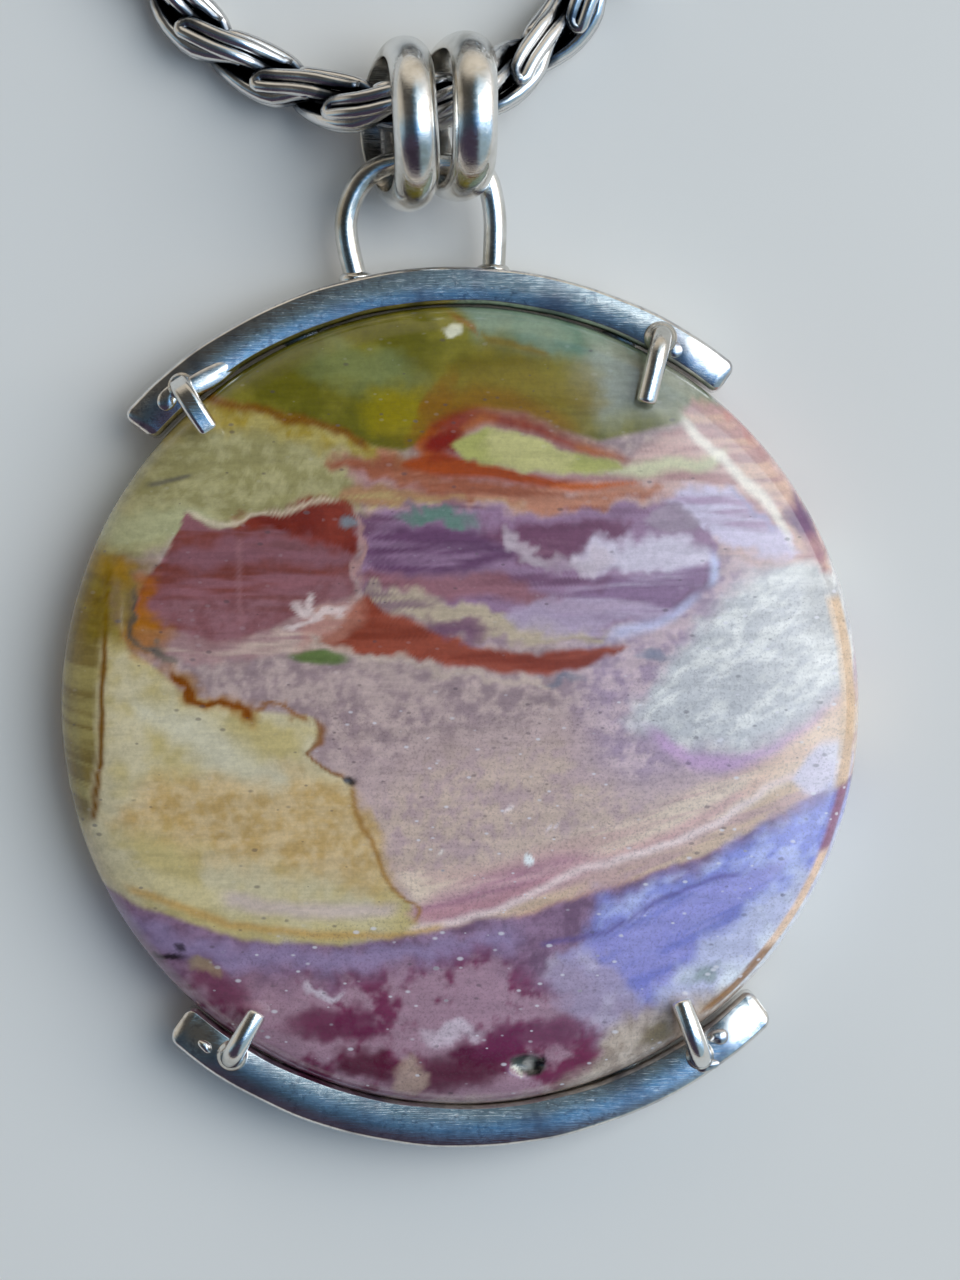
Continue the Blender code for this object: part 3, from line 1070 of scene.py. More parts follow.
# The olive top, the speckled cream under it and the orange arms round the lime lens
UPPER_ZONE = (
    Marking(
        "pink_ground", (182, 158, 156), (156, 124, 126), soft=8, warp=Warp.WAVY,
        top=((300, 470), (440, 470), (500, 480), (600, 470), (680, 430), (740, 400), (830, 420)),
        bottom=((300, 512), (480, 520), (640, 512), (720, 545), (760, 560), (860, 560)),
    ),
    Marking(
        "speckled_cream", (158, 154, 120), (136, 132, 96), soft=12, grain=Grain.SAND,
        bottom=(
            (60, 560), (120, 560), (163, 552), (186, 520), (225, 530), (281, 516), (343, 512), (400, 505),
            (440, 500), (480, 470),
        ),
        right=((380, 330), (450, 335), (490, 360), (520, 372)),
    ),
    Marking(
        "cream_yellow", (146, 130, 66), (160, 150, 100), soft=10, grain=Grain.SAND,
        bottom=((60, 520), (140, 462), (200, 424), (260, 432), (330, 452), (390, 470)),
        right=((380, 380), (480, 395)),
    ),
    Marking(
        "cyan_cream", (142, 150, 122), (162, 164, 134), soft=8, strength=0.8, grain=Grain.CLOUD,
        top=((60, 520), (110, 516), (180, 506), (215, 516)),
        bottom=((60, 560), (130, 548), (180, 536), (215, 524)),
    ),
    Marking(
        "cream_bands", (166, 156, 112), (150, 118, 92), warp=Warp.WAVY,
        top=((336, 498), (380, 488), (430, 494), (500, 502), (560, 508)),
        bottom=((336, 508), (380, 506), (430, 506), (500, 508), (560, 510)),
    ),
    Marking(
        "salmon", (164, 118, 100), (136, 84, 66), soft=7,
        top=((330, 458), (400, 456), (440, 470), (496, 484), (552, 492), (610, 486), (660, 478)),
        bottom=((330, 466), (400, 486), (460, 500), (540, 514), (600, 510), (660, 490)),
    ),
    Marking(
        "olive_top", (88, 86, 30), (112, 108, 46), soft=3, warp=Warp.STILL, grain=Grain.CLOUD,
        bottom=(
            (180, 388), (222, 398), (264, 408), (304, 417), (335, 428), (363, 442), (380, 450), (405, 452),
            (432, 436), (450, 418), (482, 406), (533, 412), (566, 428), (600, 440), (640, 432), (680, 422),
            (720, 404), (760, 396),
        ),
    ),
    Marking(
        "sage", (86, 114, 100), (110, 130, 116), soft=12, warp=Warp.WAVY, grain=Grain.CLOUD,
        top=((440, 300), (760, 300)),
        bottom=((440, 318), (480, 340), (530, 344), (580, 348), (640, 372), (700, 400), (760, 420)),
        left=((300, 452), (350, 478)),
    ),
    Marking(
        "fading_grey", (104, 108, 94), (134, 140, 132), soft=26, grain=Grain.CLOUD,
        top=((530, 352), (600, 340), (680, 350), (760, 400)),
        bottom=((540, 396), (600, 420), (660, 420), (720, 408), (780, 400)),
        left=((330, 600), (380, 585), (440, 610)),
    ),
    Marking(
        "olive_yellow", (106, 90, 22), (118, 104, 44), soft=34, strength=0.85,
        top=((390, 400), (430, 372), (480, 350), (530, 350), (600, 372)),
        bottom=((390, 452), (430, 430), (480, 404), (540, 410), (600, 420)),
    ),
    *(
        Blot(f"olive_{k}", colour, middle, half, turn, 0.9, strength)
        for k, (colour, middle, half, turn, strength) in enumerate(
            (
                ((108, 122, 88), (362, 368), (40, 18), 10, 0.6),
                ((130, 120, 30), (392, 414), (22, 20), 60, 0.75),
                ((120, 74, 18), (428, 412), (9, 30), 20, 0.6),
            )
        )
    ),
    Blot("white_chip", (196, 198, 182), (440, 320), (9, 5), 20, 0.5, 1, warp=Warp.WAVY),
    Vein("chip_rust", (118, 82, 40), 2.5, ((444, 311), (458, 317), (472, 327), (480, 344))),
    Vein("rust_thread", (112, 96, 40), 2, ((474, 326), (485, 340), (513, 343), (535, 346), (560, 352))),
    Vein(
        "olive_border", (104, 64, 14), 4.5,
        ((205, 398), (222, 402), (264, 411), (304, 419), (335, 430), (363, 443), (376, 451)), soft=4,
        strength=0.9, warp=Warp.JAGGED,
    ),
    Vein(
        "lime_tail", (184, 188, 160), 7, ((560, 462), (620, 466), (660, 466), (712, 462), (735, 455)),
        soft=6, warp=Warp.WAVY,
    ),
    Vein(
        "arm_glow", (120, 84, 26), 8,
        ((418, 430), (436, 406), (470, 394), (510, 398), (550, 412), (600, 436)), soft=12, strength=0.7,
    ),
    Marking(
        "upper_arm", (148, 82, 26), (118, 40, 8), soft=9, strength=0.9, warp=Warp.CALM, grain=Grain.CLOUD,
        top=((420, 436), (440, 412), (470, 404), (500, 408), (533, 414), (566, 430), (600, 444), (630, 456)),
        bottom=(
            (420, 462), (440, 462), (456, 440), (482, 424), (533, 430), (566, 444), (600, 458), (630, 460),
        ),
    ),
    Marking(
        "lower_arm", (168, 92, 52), (140, 66, 34), warp=Warp.CALM,
        top=((404, 462), (436, 452), (460, 458), (496, 468), (552, 480), (600, 482), (640, 480)),
        bottom=((404, 470), (440, 476), (496, 482), (552, 490), (600, 490), (640, 482)),
    ),
    Blot("deep_red", (108, 28, 4), (445, 447), (17, 11), -10, 0.7, 1),
    Marking(
        "lime_lens", (152, 154, 98), (170, 168, 122), soft=3.5, warp=Warp.JAGGED, grain=Grain.CLOUD,
        top=((452, 446), (466, 436), (490, 428), (533, 434), (566, 448), (600, 458), (620, 462)),
        bottom=((452, 450), (466, 460), (490, 466), (533, 472), (566, 476), (600, 474), (620, 468)),
    ),
    Blot("magenta_spot", (160, 108, 106), (745, 434), (20, 12), 40, 0.7, 0.8),
    Marking(
        "right_tan", (186, 162, 152), (164, 138, 140), soft=8,
        top=((690, 400), (720, 412), (760, 450), (800, 500), (840, 560)),
        bottom=((690, 420), (720, 440), (760, 490), (800, 545), (840, 580)),
    ),
    Marking(
        "lilac_flow", (186, 182, 208), (158, 140, 170), soft=7, strength=0.9,
        top=((660, 500), (690, 484), (730, 484), (770, 520), (800, 552)),
        bottom=((660, 502), (690, 524), (730, 545), (770, 552), (800, 556)),
    ),
    # A pale streak on the right whose colour also carries a painted glare: the window's whitening on the
    # polish, painted in.
    Vein(
        "pale_diagonal_and_glare", (216, 214, 208), 7,
        ((676, 412), (700, 436), (724, 460), (748, 484), (772, 510), (788, 532), (800, 558)), soft=5,
        strength=0.8,
    ),
    Vein(
        "grey_flow", (148, 146, 178), 3.5, ((716, 478), (730, 486), (745, 504), (764, 522), (784, 536)),
        soft=4, strength=0.7, warp=Warp.RAGGED,
    ),
    Blot("edge_purple", (92, 66, 100), (808, 518), (15, 24), -38),
    Blot("edge_magenta", (132, 98, 116), (822, 550), (10, 16), -30, 0.6, 0.7),
)

# The maroon and purple lens across the middle, and the rust-red band under it
MAROON_LENS = (
    Marking(
        "left_yellow", (120, 104, 34), (104, 84, 20), soft=14, strength=0.8, grain=Grain.SAND,
        top=((60, 545), (105, 552), (160, 566)), bottom=((60, 640), (105, 640), (160, 650)),
        right=((540, 160), (580, 145), (640, 132)),
    ),
    Marking(
        "under_lens", (186, 168, 160), (150, 122, 126), soft=8, strength=0.85,
        top=((140, 610), (200, 630), (280, 625), (340, 610)),
        bottom=((140, 650), (200, 668), (280, 660), (340, 650)),
    ),
    Marking(
        "purple_body", (138, 114, 140), (104, 76, 100), soft=6,
        top=((352, 508), (440, 508), (521, 514), (600, 508), (660, 500), (700, 512), (716, 548)),
        bottom=((352, 590), (420, 622), (480, 640), (560, 640), (620, 626), (680, 604), (716, 572)),
        left=((500, 356), (600, 356)),
    ),
    Marking(
        "maroon_band", (104, 70, 92), (126, 94, 112), soft=7,
        top=((480, 524), (521, 522), (570, 520), (630, 526)),
        bottom=((480, 545), (521, 560), (570, 564), (630, 536)),
    ),
    Marking(
        "purple_bands", (92, 64, 92), (128, 104, 130), soft=7, warp=Warp.WAVY,
        top=((366, 526), (400, 528), (440, 528), (480, 532), (520, 548)),
        bottom=((366, 572), (400, 574), (440, 572), (480, 566), (520, 556)),
    ),
    Marking(
        "pink_red", (138, 96, 102), (116, 76, 82), soft=6, strength=0.8, warp=Warp.WAVY,
        top=((360, 572), (420, 574), (480, 570), (560, 588), (640, 596)),
        bottom=((360, 588), (420, 594), (480, 594), (560, 604), (640, 600)),
    ),
    Marking(
        "pale_lilac", (196, 192, 210), (160, 146, 174), soft=8, strength=0.9,
        top=((570, 560), (600, 546), (650, 538), (690, 536), (708, 546)),
        bottom=((570, 564), (600, 570), (650, 572), (690, 568), (708, 556)),
    ),
    Marking(
        "grey_lens", (146, 134, 150), (120, 106, 124), strength=0.85, warp=Warp.JAGGED, grain=Grain.CLOUD,
        top=((644, 520), (656, 507), (675, 502), (698, 512)),
        bottom=((644, 522), (656, 530), (675, 534), (698, 530)),
    ),
    *(
        Blot(f"white_puff_{k}", (182, 172, 184), middle, half, turn, 0.8, 0.75)
        for k, (middle, half, turn) in enumerate(
            (((514, 536), (8, 9), 20), ((534, 553), (20, 6), 20), ((590, 562), (22, 6), -10))
        )
    ),
    Marking(
        "cream_streaks", (172, 160, 144), (124, 106, 112), soft=5,
        top=((362, 584), (400, 590), (440, 596), (480, 604), (540, 618), (610, 626)),
        bottom=((362, 602), (400, 618), (440, 628), (480, 636), (540, 642), (610, 634)),
    ),
    Marking(
        "lower_lilac", (164, 152, 176), (130, 108, 138), soft=7, strength=0.85,
        top=((500, 606), (560, 590), (640, 576), (704, 560)),
        bottom=((500, 618), (560, 634), (640, 616), (704, 576)),
    ),
    Vein(
        "halo_right", (186, 194, 226), 4, ((540, 709), (556, 712), (576, 711), (592, 700)), soft=5,
        upright=True,
    ),
    Vein(
        "halo_foot", (180, 184, 216), 5, ((600, 634), (624, 629), (650, 622), (676, 608), (704, 586)),
        soft=6, strength=0.75,
    ),
    Marking(
        "rust_band", (136, 72, 58), (118, 56, 42), warp=Warp.JAGGED,
        top=(
            (318, 642), (336, 630), (352, 606), (365, 594), (382, 610), (433, 629), (480, 646), (540, 653),
            (625, 644),
        ),
        bottom=(
            (318, 646), (336, 652), (391, 658), (440, 664), (480, 669), (530, 673), (580, 668), (625, 648),
        ),
    ),
    Blot("slope_light", (172, 128, 116), (328, 628), (26, 14), -40, 0.8, 0.6),
    Blot("purple_pool", (108, 78, 100), (457, 627), (27, 10), 8, 0.5, 0.9),
    Vein(
        "cream_under", (180, 166, 158), 3.5, ((300, 650), (352, 656), (420, 668), (480, 677), (560, 682)),
        soft=4, strength=0.7, warp=Warp.RAGGED,
    ),
    Blot("green_lens", (84, 104, 58), (318, 661), (25, 6), 3, 0.4, warp=Warp.CALM),
    Blot("teal_patch", (88, 120, 110), (436, 519), (38, 7), 2, 0.5, 0.9),
    Blot("teal_east", (100, 112, 134), (656, 650), (14, 6), 0, 0.6, 0.7),
    Blot("teal_south", (104, 108, 124), (563, 676), (14, 4), 0, 0.6, 0.7),
    Marking(
        "maroon_lens", (110, 62, 58), (130, 90, 98), soft=2, warp=Warp.JAGGED,
        top=(
            (134, 600), (140, 586), (152, 570), (164, 556), (176, 536), (184, 512), (196, 519), (208, 526),
            (225, 529), (240, 525), (252, 517), (266, 515), (281, 516), (296, 512), (308, 511), (318, 505),
            (338, 506), (346, 517), (366, 520),
        ),
        bottom=(
            (134, 612), (146, 628), (163, 630), (208, 641), (253, 635), (292, 617), (330, 602), (366, 590),
        ),
        right=((500, 350), (530, 358), (560, 352), (600, 352)),
    ),
    Marking(
        "mauve_heart", (126, 92, 104), (106, 72, 76), soft=9, strength=0.75,
        top=((170, 548), (210, 538), (260, 536), (320, 544), (352, 552)),
        bottom=((170, 560), (210, 566), (260, 560), (320, 566), (352, 566)),
    ),
    Marking(
        "lens_foot", (134, 100, 108), (112, 74, 78), soft=9, strength=0.6, grain=Grain.SAND,
        top=((160, 606), (210, 600), (300, 590), (350, 570)),
        bottom=((160, 640), (210, 650), (300, 620), (350, 600)),
    ),
    Marking(
        "dark_red", (94, 28, 10), (114, 46, 32), soft=5, strength=0.9, grain=Grain.CLOUD,
        top=((238, 516), (281, 512), (308, 508), (320, 502), (338, 504), (356, 516)),
        bottom=((238, 522), (281, 532), (308, 540), (330, 546), (356, 548)),
        right=((500, 346), (530, 352), (600, 348)),
    ),
    Vein(
        "lens_white_edge", (196, 186, 168), 1,
        (
            (184, 510), (208, 523), (225, 526), (240, 521), (252, 514), (281, 513), (308, 508), (318, 502),
            (340, 503),
        ),
        soft=1.8, strength=0.75, warp=Warp.JAGGED,
    ),
    Vein(
        "seam", (160, 128, 126), 2.5, ((508, 352), (530, 358), (560, 354), (590, 360)), soft=3.5,
        upright=True, warp=Warp.RAGGED,
    ),
    Vein("fold_line", (146, 108, 114), 1, ((530, 244), (600, 238), (632, 240)), strength=0.5, upright=True),
    Blot("blue_chip", (112, 122, 132), (347, 524), (9, 4), 0, 0.5, 0.9, warp=Warp.JAGGED),
    *(
        Blot(f"crystal_{k}", (204, 192, 194), middle, half, turn, 0.7, 0.8)
        for k, (middle, half, turn) in enumerate(
            (
                ((304, 612), (11, 4), 50), ((322, 622), (14, 4), -40), ((298, 630), (14, 3), 0),
                ((310, 604), (3, 10), 0),
            )
        )
    ),
    Vein(
        "rust_fringe", (152, 92, 20), 6, ((566, 152), (590, 141), (615, 137), (645, 142)), soft=8,
        upright=True, warp=Warp.RAGGED,
    ),
)

# The rusty crack on the left with its crusts, the open pit with its painted shadow and the brightest grains
CRACKS = (
    Blot("crust_yellow", (148, 112, 14), (116, 572), (15, 11), 20, 0.8, 0.75),
    Blot("crust_amber", (146, 96, 16), (142, 636), (15, 20), -30, 0.8, 0.75),
    Vein(
        "rust_glow", (140, 98, 32), 10, ((150, 664), (180, 686), (208, 701), (236, 710), (268, 720)), soft=8,
        strength=0.8, warp=Warp.RAGGED,
    ),
    Vein(
        "crust_upper", (84, 78, 70), 2.5, ((584, 131), (600, 128), (625, 128), (640, 134), (652, 142)),
        strength=0.9, upright=True, warp=Warp.RAGGED,
    ),
    Blot("crust_lower", (104, 98, 92), (152, 652), (13, 6), 35, 0.6),
    Blot("crust_knob", (112, 104, 98), (166, 662), (6, 5), 0, 0.6, 0.9),
    Vein(
        "rust_crack", (112, 62, 6), 4.5, ((160, 668), (180, 689), (208, 702), (236, 709), (258, 717)),
        soft=3.5, strength=1, warp=Warp.RAGGED,
    ),
    Vein(
        "rust_thin", (128, 86, 44), 2.5, ((250, 712), (270, 708), (293, 712), (312, 717), (322, 726)),
        warp=Warp.RAGGED,
    ),
    Vein(
        "crack_fall", (118, 78, 42), 2.4,
        ((714, 314), (724, 322), (732, 324), (743, 321), (752, 310), (763, 321), (774, 337), (786, 352)),
        soft=2.4, strength=0.9, upright=True, warp=Warp.JAGGED,
    ),
    Vein(
        "crack_low", (140, 106, 58), 2.2,
        (
            (783, 350), (802, 354), (819, 357), (839, 365), (858, 377), (875, 385), (889, 394), (899, 405),
            (906, 418), (914, 419), (926, 406),
        ),
        soft=2.6, upright=True, warp=Warp.JAGGED,
    ),
    Blot("black_knot", (30, 24, 22), (350, 783), (7, 4), 30, warp=Warp.JAGGED),
    Blot("pit_wall", (84, 92, 88), (529, 1065.5), (15.5, 9), 4, 0.25, warp=Warp.STILL),
    Blot("pit_dark", (34, 42, 40), (521, 1060), (6, 4.5), 0, 0.5, 0.9, warp=Warp.JAGGED),
    # Painted shadow: a near-black crescent inside the open pit, in two parts.
    Blot("pit_shadow", (6, 6, 8), (541, 1064), (4.2, 6), 20, 0.4, warp=Warp.JAGGED),
    Blot("pit_shadow_foot", (6, 6, 8), (534, 1071), (7, 2.8), -28, 0.4, warp=Warp.JAGGED),
    Blot("pit_crystal", (150, 150, 148), (530, 1065), (4, 5), 10, 0.5, 0.9, warp=Warp.JAGGED),
    Blot("pit_lip", (196, 198, 190), (519, 1070), (2, 5.5), -40, 0.5, 0.9, warp=Warp.JAGGED),
    Blot("bright_grain", (236, 232, 232), (526.5, 861), (5.5, 4), 40, 0.4, warp=Warp.JAGGED),
    Blot("pale_grain", (214, 206, 210), (507, 809), (4, 2.6), -40, 0.5, 0.85, warp=Warp.JAGGED),
    Blot("long_grain", (206, 200, 200), (443, 853), (5, 1.5), -40, 0.5, 0.85, warp=Warp.JAGGED),
    Blot("slit_grain", (204, 196, 204), (551, 829), (6, 1.3), -28, 0.5, 0.8, warp=Warp.JAGGED),
    Vein(
        "dark_streak", (92, 90, 84), 1.2, ((142, 487), (168, 480), (196, 474)), soft=2.2, strength=0.8,
        warp=Warp.STILL,
    ),
)


@dataclass(frozen=True)
class Mookaite:
    """The polished stone's finish: its markings in the order in which they lie on each other."""

    name: str = "mookaite"
    markings: tuple[Marking | Vein | Blot, ...] = (
        *SANDY_MIDDLE, *LOWER_BANDS, *UPPER_ZONE, *MAROON_LENS, *CRACKS
    )
    ground: Colour = (164, 144, 146)
    ground_cloud: Colour = (178, 160, 164)
    grain_shade: Colour = (98, 78, 84)
    sparkle: Colour = (238, 230, 234)
    speck: Colour = (88, 74, 78)
    streak_pixels: float = 11.0
    sand_pixels: float = 7.0
    fine_pixels: float = 2.6
    dot_pixels: float = 10.0
    roughness: float = 0.16
    coat: float = 0.35
    coat_roughness: float = 0.12
    ripple_depth: float = 0.000006
    scale: float = 0.05554
    view_centre: Spot = (480.0, 640.0)
    view_place: Spot = (1.13, 3.67)
    face_height: float = 5.2
    slant: Spot = (0.55, 0.35)
    fuller: float = 1.12
    lift: Point = (1.46, 1.33, 1.2)
    sand_top: Edge = ((60, 700), (300, 690), (420, 690), (560, 690), (650, 650), (720, 590), (860, 560))
    sand_left: Edge = ((560, 620), (680, 300), (740, 330), (860, 370), (900, 380), (960, 200), (1100, 200))
    layer_fall: Edge = ((60, -60), (200, -10), (330, 8), (450, 0), (600, -42), (750, -110), (860, -180))

    def places(self, points: Array) -> tuple[Array, Array]:
        """The photograph's pixels that show points of the stone.

        Down the rim the pixels shift, so that the layers slant through the stone.

        Args:
            points: Rows of x, y, z in millimetres from the stone's middle and the surface it rests on.

        Returns:
            Pixels across and down.
        """
        below = np.maximum(self.face_height - points[:, 2], 0.0)
        u = self.view_centre[0] + (points[:, 0] - self.view_place[0] + self.slant[0] * below) / self.scale
        v = self.view_centre[1] - (points[:, 1] - self.view_place[1] - self.slant[1] * below) / self.scale
        return u, v

    def grains(self, u: Array, v: Array) -> dict[Grain, Array]:
        """The ways in which a marking's two colours mingle. Streaks follow the layers, which bow down.

        Args:
            u: Across, in photograph pixels.
            v: Down, likewise.

        Returns:
            For each grain a share from 0 to 1 at each place.
        """
        level = v - bent(self.layer_fall, u, 20.0) * ease((v - 600) / 260)
        slanting = (0.82 * u - 0.57 * v) / 2, 0.57 * u + 0.82 * v
        return {
            Grain.SAND: ease(0.5 + 0.3 * fractal(u, v, 14.0, 3, 0.8, 1)),
            Grain.CLOUD: ease(0.5 + 0.45 * fractal(u, v, 60.0, 4, 0.6, 2)),
            Grain.STREAK: ease(0.5 + 0.6 * fractal(u * 0.12, level, 22.0, 4, 0.7, 3)),
            Grain.BLOTCH: ease(0.22 + 0.8 * fractal(u, v, 58.0, 5, 0.66, 4)),
            Grain.FLAKE: ease(0.5 + 0.32 * fractal(*slanting, 13.0, 3, 0.75, 5)),
        }

    def paint(self, colour: Colour) -> Array:
        """A drawn colour as the shader's: grey + (colour - grey) * fuller, times lift on each channel.

        Args:
            colour: The colour as the photograph shows it, 0 to 255.

        Returns:
            Linear red, green and blue.
        """
        shades = np.array(linear(colour)[:3])
        fuller = shades.mean() + (shades - shades.mean()) * self.fuller
        return np.clip(fuller * np.array(self.lift), 0.0, 1.0)

    def colours(self, points: Array) -> tuple[Array, Array]:
        """The pattern's colour at each point: each marking is laid over those before it.

        Args:
            points: Rows of x, y, z in millimetres from the stone's middle and the surface it rests on.

        Returns:
            Rows of red, green, blue and 1, and how sandy each point is, from 0 to 1.
        """
        u, v = self.places(points)
        waves = [fractal(u, v, 90.0, 2, 0.5, seed) for seed in (6, 7)]
        jags = [fractal(u, v, 20.0, 3, 0.6, seed) for seed in (8, 9)]
        warped = {}
        for warp in Warp:
            wide, fine = warp.value
            warped[warp] = [at + wide * waves[k] + fine * jags[k] for k, at in enumerate((u, v))]
        grains = self.grains(u, v)
        ground, cloud = self.paint(self.ground), self.paint(self.ground_cloud)
        colour = ground + np.outer(grains[Grain.CLOUD], cloud - ground)
        for item in self.markings:
            shade = self.paint(item.colour)
            if isinstance(item, Marking) and item.other:
                shade = shade + np.outer(grains[item.grain], self.paint(item.other) - shade)
            colour += (shade - colour) * item.mask(*warped[item.warp])[:, None]
        across, down = warped[Warp.WAVY]
        inner = np.minimum(down - bent(self.sand_top, across, 8.0), across - bent(self.sand_left, down, 8.0))
        return np.column_stack([colour, np.ones(len(u))]), ease((inner + 14) / 44)

    def make(self) -> bpy.types.Material:
        """Builds the material: the pattern's colour with fine streaks, grains, sparkles and dark specks.

        Returns:
            The material.
        """
        material, g, shader = new_material(self.name)
        place = g.here()
        pixel = self.scale * MM
        pattern, sandy = g.attribute("pattern", "Color"), g.attribute("sandy")
        streak = g.noise(g.scaled(place, (0.12, 1.0, 1.0)), 1 / (self.streak_pixels * pixel), 3.0, 0.66)
        sand = g.noise(place, 1 / (self.sand_pixels * pixel), 3.0, 0.75)
        tone = g.math("MULTIPLY_ADD", g.rise(streak, 0.36, 0.64), 0.14, 0.86)
        tone = g.math("MULTIPLY_ADD", g.rise(sand, 0.34, 0.66), 0.14, tone)
        toned = g.node("ShaderNodeVectorMath", {0: pattern, "Scale": tone}, operation="SCALE").outputs[0]
        fine = g.rise(g.noise(place, 1 / (self.fine_pixels * pixel), 1.0, 0.7), 0.48, 0.72)
        shade = g.math("MULTIPLY", fine, g.math("MULTIPLY_ADD", sandy, 0.2, 0.06))
        grained = g.mix(shade, toned, linear(self.grain_shade))
        dots = {"Vector": g.scaled(place, (1.0, 1.7, 1.0), 35.0), "Scale": 1 / (self.dot_pixels * pixel)}
        cells = g.node("ShaderNodeTexVoronoi", dots)
        pick = g.node("ShaderNodeSeparateColor", {0: cells.outputs["Color"]}).outputs
        size = g.math("MULTIPLY_ADD", pick[2], 1.3, 0.45)
        dot = g.rise(g.math("DIVIDE", cells.outputs["Distance"], size), 0.26, 0.1)
        share = g.math("MULTIPLY_ADD", sandy, 0.6, 0.08)
        bright = g.math("MULTIPLY", g.math("GREATER_THAN", pick[0], 0.86), share)
        sparkling = g.mix(g.math("MULTIPLY", dot, bright), grained, linear(self.sparkle))
        dark = g.math("MULTIPLY", g.math("MULTIPLY", dot, g.math("LESS_THAN", pick[1], 0.07)), 0.5)
        looks = {
            "Base Color": g.mix(dark, sparkling, linear(self.speck)),
            "Roughness": g.math("MULTIPLY_ADD", streak, 0.1, self.roughness - 0.05),
            "Coat Weight": self.coat,
            "Coat Roughness": self.coat_roughness,
            "Normal": g.bump(g.noise(place, 700.0, 1.0), self.ripple_depth, Strength=0.6),
        }
        g.feed(shader, looks)
        return material


@dataclass
class Studio:
    """The camera over the pendant, the floor, the soft window and the room that the silver mirrors."""

    camera_place: Point = (1.13, 3.67, 200.0)
    lens_mm: float = 98.2
    sensor_mm: float = 36.0
    floor_size: float = 3000.0
    key_radiance: float = 2.6
    key_size_m: Spot = (0.42, 0.62)
    key_direction: Point = (0.66, 0.16, 0.76)
    key_far_m: float = 0.62
    key_colour: Point = (0.93, 0.98, 1.0)
    room_by_east: tuple = (
        (-1.0, (0.5, 0.5, 0.43)), (-0.86, (0.4, 0.4, 0.35)), (-0.7, (0.06, 0.06, 0.055)),
        (-0.14, (0.05, 0.055, 0.055)), (-0.06, (0.08, 0.12, 0.14)), (0.02, (0.08, 0.165, 0.25)),
        (0.08, (0.12, 0.23, 0.33)), (0.2, (0.5, 0.76, 0.98)), (0.6, (0.78, 0.93, 1.05)),
        (1.0, (0.84, 0.83, 0.8)),
    )
    south_tint: tuple = (0.6, 0.95, 1.4, 1.0)
    north_tint: tuple = (1.2, 1.12, 1.1, 1.0)
    south_dark: tuple = (0.05, 0.04, 0.065, 1.0)
    south_east: tuple = (0.3, 0.42, 0.5, 1.0)
    far_north: tuple = (0.74, 0.68, 0.58, 1.0)
    horizon: tuple = (0.62, 0.6, 0.56, 1.0)

    def build(self) -> None:
        """Makes the camera, the floor, the window and the room."""
        self.make_camera()
        self.make_floor()
        self.make_key()
        self.make_room()
        bpy.context.scene.view_settings.view_transform = "Standard"
        LOG.info("studio: camera %.0f mm over the table", self.camera_place[2])

    def make_camera(self) -> None:
        """A camera that looks straight down, with the frame's height as its sensor's size."""
        data = bpy.data.cameras.new("camera")
        data.lens = self.lens_mm
        data.sensor_fit = "VERTICAL"
        data.sensor_height = self.sensor_mm
        data.clip_start = 0.005
        camera = add_object("camera", data)
        camera.location = to_frame(np.array(self.camera_place))
        bpy.context.scene.camera = camera

    def make_floor(self) -> None:
        """A plain pale floor at height zero, round the middle of the stone."""
        material, g, shader = new_material("pale_floor")
        cloud = g.noise(g.here(), 30.0, 3.0)
        colour = g.mix(cloud, linear((232, 227, 220)), linear((238, 234, 228)))
        g.feed(shader, {"Base Color": colour, "Roughness": 0.75})
        half = self.floor_size / 2
        corners = np.array([[-half, -half, 0], [half, -half, 0], [half, half, 0], [-half, half, 0]])
        make_piece("floor", corners, [[0, 1, 2, 3]], material)

    def make_key(self) -> None:
        """A large soft window high on the right: its power is its radiance times pi times its area."""
        light = bpy.data.lights.new("window", "AREA")
        light.shape = "RECTANGLE"
        light.size, light.size_y = self.key_size_m
        light.energy = self.key_radiance * math.pi * light.size * light.size_y
        light.color = self.key_colour
        window = add_object("window", light)
        direction = Vector(self.key_direction).normalized()
        window.location = direction * self.key_far_m
        window.rotation_euler = direction.to_track_quat("Z", "Y").to_euler()

    def make_room(self) -> None:
        """A room that is dim blue-grey overhead and pale all round, for the silver to mirror."""
        world = bpy.data.worlds.new("room")
        bpy.context.scene.world = world
        world.use_nodes = True
        g = Graph(world.node_tree)
        way = g.node("ShaderNodeTexCoord", {}).outputs["Generated"]
        east, north, up = g.node("ShaderNodeSeparateXYZ", {0: way}).outputs
        ramp = g.node("ShaderNodeValToRGB", {0: g.math("MULTIPLY_ADD", east, 0.5, 0.5)})
        stops = ramp.color_ramp.elements
        while len(stops) < len(self.room_by_east):
            stops.new(0.5)
        for stop, (where, colour) in zip(stops, self.room_by_east):
            stop.position = where / 2 + 0.5
            stop.color = (*colour, 1.0)
        tint = g.mix(g.rise(north, -0.2, 0.1), self.south_tint, self.north_tint)
        cool = g.mix(1.0, ramp.outputs[0], tint, "MULTIPLY")
        shade = g.mix(g.rise(east, 0.1, 0.4), self.south_dark, self.south_east)
        near = g.mix(g.rise(north, -0.2, -0.5), cool, shade)
        far = g.mix(g.rise(north, 0.55, 0.85), near, self.far_north)
        sky = g.mix(g.rise(up, 0.24, 0.02), far, self.horizon)
        g.feed(world.node_tree.nodes["Background"], {"Color": sky, "Strength": 1.0})


